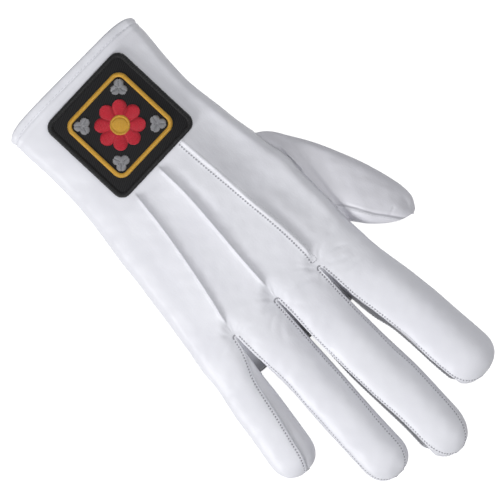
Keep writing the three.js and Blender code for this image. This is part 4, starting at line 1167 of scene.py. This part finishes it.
# The thumb's first rows lie under the hand's leather, less so towards the fingers.
THUMB_SUNK = (-0.7, -0.55, -0.35, -0.2, -0.08)
thumb_drop = relief.copy()
for row, drop in enumerate(THUMB_SUNK):
    ring_drop = np.full(thumb_grid.shape[1], drop)
    ring_drop[:len(thumb_over)] *= mix(1, 0.15, smooth((thumb_over - 0.3) / 0.3))
    own_relief = relief[thumb_grid[row]] * mix(0.2, 1, row / 4)
    thumb_drop[thumb_grid[row]] = ring_drop + own_relief * (ring_drop > drop * 0.5)
thumb_leather = cut_leather(
    "thumb_leather", skin.piece("thumb"), thumb_drop, even * LEATHER, [thumb_painted_shade, leather_inside],
    {"seam_off": thumb_line, "seam_on": even * STITCH_PITCH / 2})

# Stitches

HEM_PITCH, HEM_STITCH = 2.1, (1.6, 0.17, 0.02)  # length, radius and how far it stands proud
POINT_STITCH = (STITCH_LENGTH, 0.14, 0.02)
THUMB_STITCH, THUMB_ASIDE = (1.05, 0.15, 0.03), (0.95, 0.55)  # and how far aside of its seam
back_outside, palm_outside, thumb_outside = map(Surface, (back_leather, palm_leather, thumb_leather))


def seam_stitches(seams, outside):
    spots = [seam.read(STITCH_PITCH, STITCH_INSET, STITCH_PITCH / 2)[1] for seam in seams]
    return [stitch_row(*outside.nearest(each)) for each in spots]


back_rows = seam_stitches(back_seams, back_outside)
ys = STITCH_PITCH * (np.arange(np.ceil(stitches_start / STITCH_PITCH), stitches_end // STITCH_PITCH) + 0.5)
line = np.stack([slit_line("back", 0, ys) + POINT_STITCHES, ys], -1)
back_rows.append(stitch_row(*back_outside.under(line), *POINT_STITCH))
hem_row = int(np.argmin(np.abs(hand_shares * HAND_LENGTH - HEM_STITCHES)))
hem_back = np.concatenate([left_side[hem_row][1:-1], over[hem_row], right_side[hem_row][1:-1]])
for places, outside in ((hem_back, back_outside), (under[hem_row], palm_outside)):
    on = lengths_along(base[places])
    spots = read_at(np.arange(HEM_PITCH / 2, on[-1], HEM_PITCH), on, base[places])
    back_rows.append(stitch_row(*outside.nearest(spots), *HEM_STITCH))
palm_rows = seam_stitches(palm_seams, palm_outside)
seam_path = np.asarray(THUMB_SEAM)
seam_on = lengths_along(seam_path)
line = read_at(np.arange(2.0, seam_on[-1] - 0.5, STITCH_PITCH), seam_on, seam_path) + THUMB_ASIDE
palm_rows.append(stitch_row(*thumb_outside.under(line), *THUMB_STITCH))
back_stitches = make_object("stitches_back", *join(back_rows), [white_thread])
palm_stitches = make_object("stitches_palm", *join(palm_rows), [white_thread])

# The patch

TWILL_TOP = 1.2  # the twill's height over the leather
TWILL_UNDER = 0.6  # how far the twill reaches under the rim
RIM_WIDE, RIM_HIGH, RIM_MIDDLE = EDGING_WIDTH / 2, 0.92, 0.85
CORD_HIGH = 0.75


def on_patch(u, v, height):
    """Places on the back of the hand from the patch's own directions and a height."""
    turn = np.radians(PATCH_TURN)
    x = slit_line("back", 1, PATCH_FROM_CUFF) + PATCH_ASIDE + u * np.cos(turn) - v * np.sin(turn)
    y = PATCH_FROM_CUFF + u * np.sin(turn) + v * np.cos(turn)
    return np.stack([x, y, back_height(x, y) + height], -1)


def square_ring(side, corner, spacing=0.8):
    """Places round a square with round corners, with the way out at each."""
    straight = side / 2 - corner
    runs = max(2, int(round(2 * straight / spacing)))
    turns = max(3, int(round(corner * np.pi / 2 / spacing)))
    along = np.concatenate([np.linspace(-straight, straight, runs + 1)[1:], np.full(turns, straight)])
    bend = np.concatenate([np.zeros(runs), np.linspace(0, np.pi / 2, turns + 1)[1:]])
    u = np.where(bend > 0, straight + corner * np.cos(bend), side / 2)
    v = along + corner * np.sin(bend)
    out = np.stack([np.cos(bend), np.sin(bend)], -1)
    turns = [turned(quarter * np.pi / 2).T for quarter in range(4)]
    ring = np.stack([u, v], -1)
    return np.concatenate([ring @ turn for turn in turns]), np.concatenate([out @ turn for turn in turns])


def low_form(rings, heights, middle=(0.0, 0.0)):
    """A low form of rings from the middle out, with heights over the twill, as places and faces."""
    count = len(rings[0])
    places = [on_patch(*(np.array([m]) for m in middle), TWILL_TOP + heights[0])]
    places += [on_patch(*ring.T, TWILL_TOP + height) for ring, height in zip(rings, heights[1:])]
    faces = [[0, 1 + k, 1 + (k + 1) % count] for k in range(count)]
    for a in range(1, 1 + (len(rings) - 1) * count, count):
        b = a + count
        faces += [[a + k, b + k, b + (k + 1) % count, a + (k + 1) % count] for k in range(count)]
    return np.concatenate(places), faces


twill_side = PATCH_SIDE - 2 * EDGING_WIDTH + 2 * TWILL_UNDER
outline, _ = square_ring(twill_side, PATCH_CORNER - EDGING_WIDTH + TWILL_UNDER)
shares = np.concatenate([np.linspace(0.06, 0.98, 26), [1.0, 1.0]])
puff = 0.12 * (1 - shares ** 4)
places, faces = low_form([outline * share for share in shares], [puff[0], *puff[:-1], 0.1 - TWILL_TOP])
faces.append([len(places) - 1 - k for k in range(len(outline))])
patch_twill = make_object("patch_twill", places, faces, [black_twill])

# The overlocked rim: a soft cord, wrapped by threads that lie side by side
rim_ring, rim_out = square_ring(PATCH_SIDE - EDGING_WIDTH, PATCH_CORNER - EDGING_WIDTH / 2, 0.42)
rim_turns = np.radians(np.linspace(-28, 208, 11))


def round_rim(grow):
    flat = rim_ring[:, None] + rim_out[:, None] * (np.cos(rim_turns)[None, :, None] * (RIM_WIDE + grow))
    return on_patch(flat[..., 0], flat[..., 1], RIM_MIDDLE + (RIM_HIGH + grow) * np.sin(rim_turns)[None, :])


core = round_rim(-0.12)
count, around = core.shape[:2]
a, b = ((np.arange(count)[:, None] + ahead) % count * around + np.arange(around - 1)[None, :]
        for ahead in (0, 1))
core_faces = np.stack([a, b, b + 1, a + 1], -1).reshape(-1, 4).tolist()
wraps = round_rim(0.0)
slant = np.linspace(-0.8, 0.8, around)[None, :, None]
following = np.roll(wraps, -1, 0) - wraps
wraps = wraps + following * slant + seeded.normal(0, 0.035, (count, 1, 3))
wrap_parts = sweep(wraps, np.cross(following[:, around // 2], wraps[:, -1] - wraps[:, 0]), 0.235)
rim_parts = [(core.reshape(-1, 3), core_faces), wrap_parts]
patch_overlock = make_object("patch_overlock", *join(rim_parts), [black_thread])


def satin(outline, angle, low, high, pitch=0.36, radius=0.2):
    """Side by side threads that fill an outline, each rising over the padding under it.

    low and high are a thread's heights over the twill, at its ends and its middle."""
    angle = np.radians(angle)
    turn = turned(angle)
    flat = outline @ turn
    after = np.roll(flat, -1, 0)
    paths = []
    for level in np.arange(flat[:, 1].min() + pitch / 2, flat[:, 1].max(), pitch):
        cross = (flat[:, 1] - level) * (after[:, 1] - level) < 0
        share = (level - flat[cross, 1]) / (after[cross, 1] - flat[cross, 1])
        ends = np.sort(flat[cross, 0] + share * (after[cross, 0] - flat[cross, 0]))
        for start, end in zip(ends[0::2], ends[1::2]):
            if end - start < 0.5:
                continue
            jitter = seeded.normal(0, 0.05, 3)
            t = np.linspace(0, 1, 7)
            u = mix(start - 0.08 + jitter[0], end + 0.08 + jitter[1], t)
            line = np.stack([u, np.full(7, level + jitter[2] * 0.5)], -1) @ turn.T
            height = TWILL_TOP + mix(low, high, (1 - np.abs(2 * t - 1) ** 3))
            paths.append(on_patch(line[:, 0], line[:, 1], height))
    ups = np.tile([0.0, 0.0, 1.0], (len(paths), 1))
    return sweep(paths, ups, np.array([0.5, 0.9, 1, 1, 1, 0.9, 0.5]) * radius, flat=0.75)


def polar(radius, angles, at=(0.0, 0.0)):
    return np.stack([at[0] + radius * np.cos(angles), at[1] + radius * np.sin(angles)], -1)


def lobe(angle, count):
    return np.abs(np.cos(count / 2 * angle)) ** PETAL_POWER


around_petals = np.linspace(0, 2 * np.pi, 193)[:-1]
petal_edge = ROSETTE_RADIUS * (1 - PETAL_NOTCH * (1 - lobe(around_petals, PETALS)))
rings = [polar(petal_edge * share, around_petals) for share in (0.4, 0.7, 0.97, 1.0)]
parts = [low_form(rings, (0.3, 0.3, 0.32, 0.2, 0))]
spread = np.linspace(-0.97, 0.97, 31) * np.pi / PETALS
petal_end = ROSETTE_RADIUS * (1 - PETAL_NOTCH * (1 - lobe(spread, PETALS))) - 0.15
for petal in range(PETALS):
    centre = petal * 2 * np.pi / PETALS
    edges = [polar(petal_end, centre + spread), polar(BOSS_RADIUS + 0.35, centre + spread[::-1] * 0.92)]
    tilt = 90 + (24 if petal % 2 else -24)
    parts.append(satin(np.concatenate(edges), np.degrees(centre) + tilt, 0.25, 0.68))
rosette_petals = make_object("rosette_petals", *join(parts), [red_thread])

circle = np.linspace(0, 2 * np.pi, 73)[:-1]
boss_padding = low_form([polar(BOSS_RADIUS * s, circle) for s in (0.5, 0.9, 1.0)], (0.55, 0.5, 0.4, 0))
boss_threads = satin(polar(BOSS_RADIUS - 0.5, circle), 35, 0.45, 0.85)


def corded(path, out, half, pitch_steps, lean, radius):
    """A cord laid on the patch: slanting threads over its width, one after another."""
    turn = np.radians(np.linspace(-15, 195, 8))
    flat = path[::pitch_steps, None] + out[::pitch_steps, None] * (np.cos(turn) * half)[None, :, None]
    step = (np.roll(path, -1, 0) - path)[::pitch_steps]
    flat = flat + step[:, None] * (np.linspace(-lean, lean, 8))[None, :, None]
    height = TWILL_TOP + 0.12 + CORD_HIGH * np.maximum(np.sin(turn), -0.1)[None, :]
    paths = on_patch(flat[..., 0], flat[..., 1], np.broadcast_to(height, flat.shape[:2]))
    return sweep(paths, np.cross(paths[:, -1] - paths[:, 0], [0, 0, 1.0]), radius)


circle = np.linspace(0, 2 * np.pi, 61)[:-1]
boss_cord = corded(polar(BOSS_RADIUS - 0.1, circle), polar(1.0, circle), 0.5, 1, 0.9, 0.2)
rosette_middle = make_object("rosette_middle", *join([boss_padding, boss_threads, boss_cord]), [gold_thread])

cord_path, cord_out = square_ring(FRAME_SIDE - FRAME_WIDTH, PATCH_CORNER - FRAME_WIDTH / 2, 0.2)
cord = corded(cord_path, cord_out, FRAME_WIDTH / 2, 3, 3.2, 0.3)
cord_frame = make_object("cord_frame", *cord, [gold_thread])

sprig_leaves = []
around_leaf = np.linspace(0, 2 * np.pi, 91)[:-1]
spread = np.linspace(-0.96, 0.96, 21) * np.pi / SPRIG_LEAVES
leaf_end = SPRIG_LENGTH / 4 * (1 + lobe(spread, SPRIG_LEAVES)) - 0.1
for corner in range(4):
    diagonal = np.radians(corner * 90 + 45)
    at = polar(SPRIG_REACH, diagonal)
    reach = SPRIG_LENGTH / 4 * (1 + lobe(around_leaf - diagonal, SPRIG_LEAVES))
    parts = [low_form([polar(reach * s, around_leaf, at) for s in (0.5, 0.9, 0.97)], (0.2, 0.2, 0.15, 0), at)]
    for leaf in range(SPRIG_LEAVES):
        centre = diagonal + leaf * 2 * np.pi / SPRIG_LEAVES
        edge = polar(leaf_end, centre + spread, at)
        for half_leaf, slope in ((spread >= 0, 55), (spread <= 0, -55)):
            outline = np.concatenate([edge[half_leaf], [polar(0.3, centre, at)]])
            parts.append(satin(outline, np.degrees(centre) + slope, 0.15, 0.5, 0.32, 0.18))
    sprig_leaves.append(make_object(f"sprig_leaves_{corner + 1}", *join(parts), [silver_thread]))

# Floor, light and camera

floor_finish = Finish("pale_floor", {
    "Base Color": (0.92, 0.92, 0.92, 1), "Specular IOR Level": 0.1,
    "Emission Color": (1, 1, 1, 1), "Emission Strength": 0.8})
floor_finish.feed("Roughness", floor_finish.noise(0.02) * 0.1 + 0.85)
floor_size, below = 2500.0, 0.1  # the floor lies a little below the glove
floor = make_object("floor", floor_size * np.array([[-1.0, -1, 0], [1, -1, 0], [1, 1, 0], [-1, 1, 0]]),
                    [[0, 1, 2, 3]], [floor_finish.material])
floor.location.z = -below * MILLIMETRE
floor.visible_diffuse = False


def soft_light(name, way, distance, size, power):
    """A square light that faces the glove from a way given in the glove's directions."""
    light = bpy.data.lights.new(name, "AREA")
    light.shape, light.size, light.energy = "SQUARE", size, power
    made = bpy.data.objects.new(name, light)
    made.location = Vector(way).normalized() * distance
    made.rotation_euler = Vector(way).to_track_quat("Z", "Y").to_euler()
    bpy.context.scene.collection.objects.link(made)


soft_light("window_light", (1.0, 0.05, 0.55), 1.5, 0.5, 14.5)
soft_light("overhead_light", (-0.2, 0.1, 1.0), 1.5, 2.4, 17.0)
world = bpy.context.scene.world or bpy.data.worlds.new("studio")
bpy.context.scene.world = world
world.use_nodes = True
world.node_tree.nodes["Background"].inputs["Color"].default_value = (0.955, 0.965, 1.0, 1.0)
world.node_tree.nodes["Background"].inputs["Strength"].default_value = 0.16
bpy.context.scene.view_settings.view_transform = "Standard"

camera = bpy.data.cameras.new("photo_camera")
camera.lens, camera.sensor_width = 400.0, 36.0
camera_object = bpy.data.objects.new("photo_camera", camera)
# The picture's right and up directions, and the camera's place over the glove
right, up, place = (-0.7009, 0.7133, 0.0), (-0.7133, -0.7009, 0.0), (0.00295, -0.00859, 2.620)
turn = Matrix((right, up, (0, 0, 1))).transposed()
camera_object.matrix_world = Matrix.Translation(place) @ turn.to_4x4()
bpy.context.scene.collection.objects.link(camera_object)
bpy.context.scene.camera = camera_object

# Riding on the frame

STANDS_FOR = (
    (back_leather, "back_panel", "white_leather"),
    (palm_leather, "palm_panel", "white_leather"),
    *((piece, name, "white_leather") for piece, name in zip(fourchette_leathers, FOURCHETTES)),
    (thumb_leather, "thumb", "white_leather"),
    (patch_twill, "patch", "black_twill"),
    (patch_overlock, "patch_edging", "black_thread"),
    (cord_frame, "frame_cord", "gold_thread"),
    (rosette_petals, "rosette", "red_thread"),
    (rosette_middle, "rosette_boss", "gold_thread"),
    *((piece, f"sprig_{i + 1}", "silver_thread") for i, piece in enumerate(sprig_leaves)),
    (back_stitches, None, "white_leather"),
    (palm_stitches, None, "white_leather"),
)
for piece, node, slot in STANDS_FOR:
    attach(piece, "root")
    if node:
        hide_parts(node)
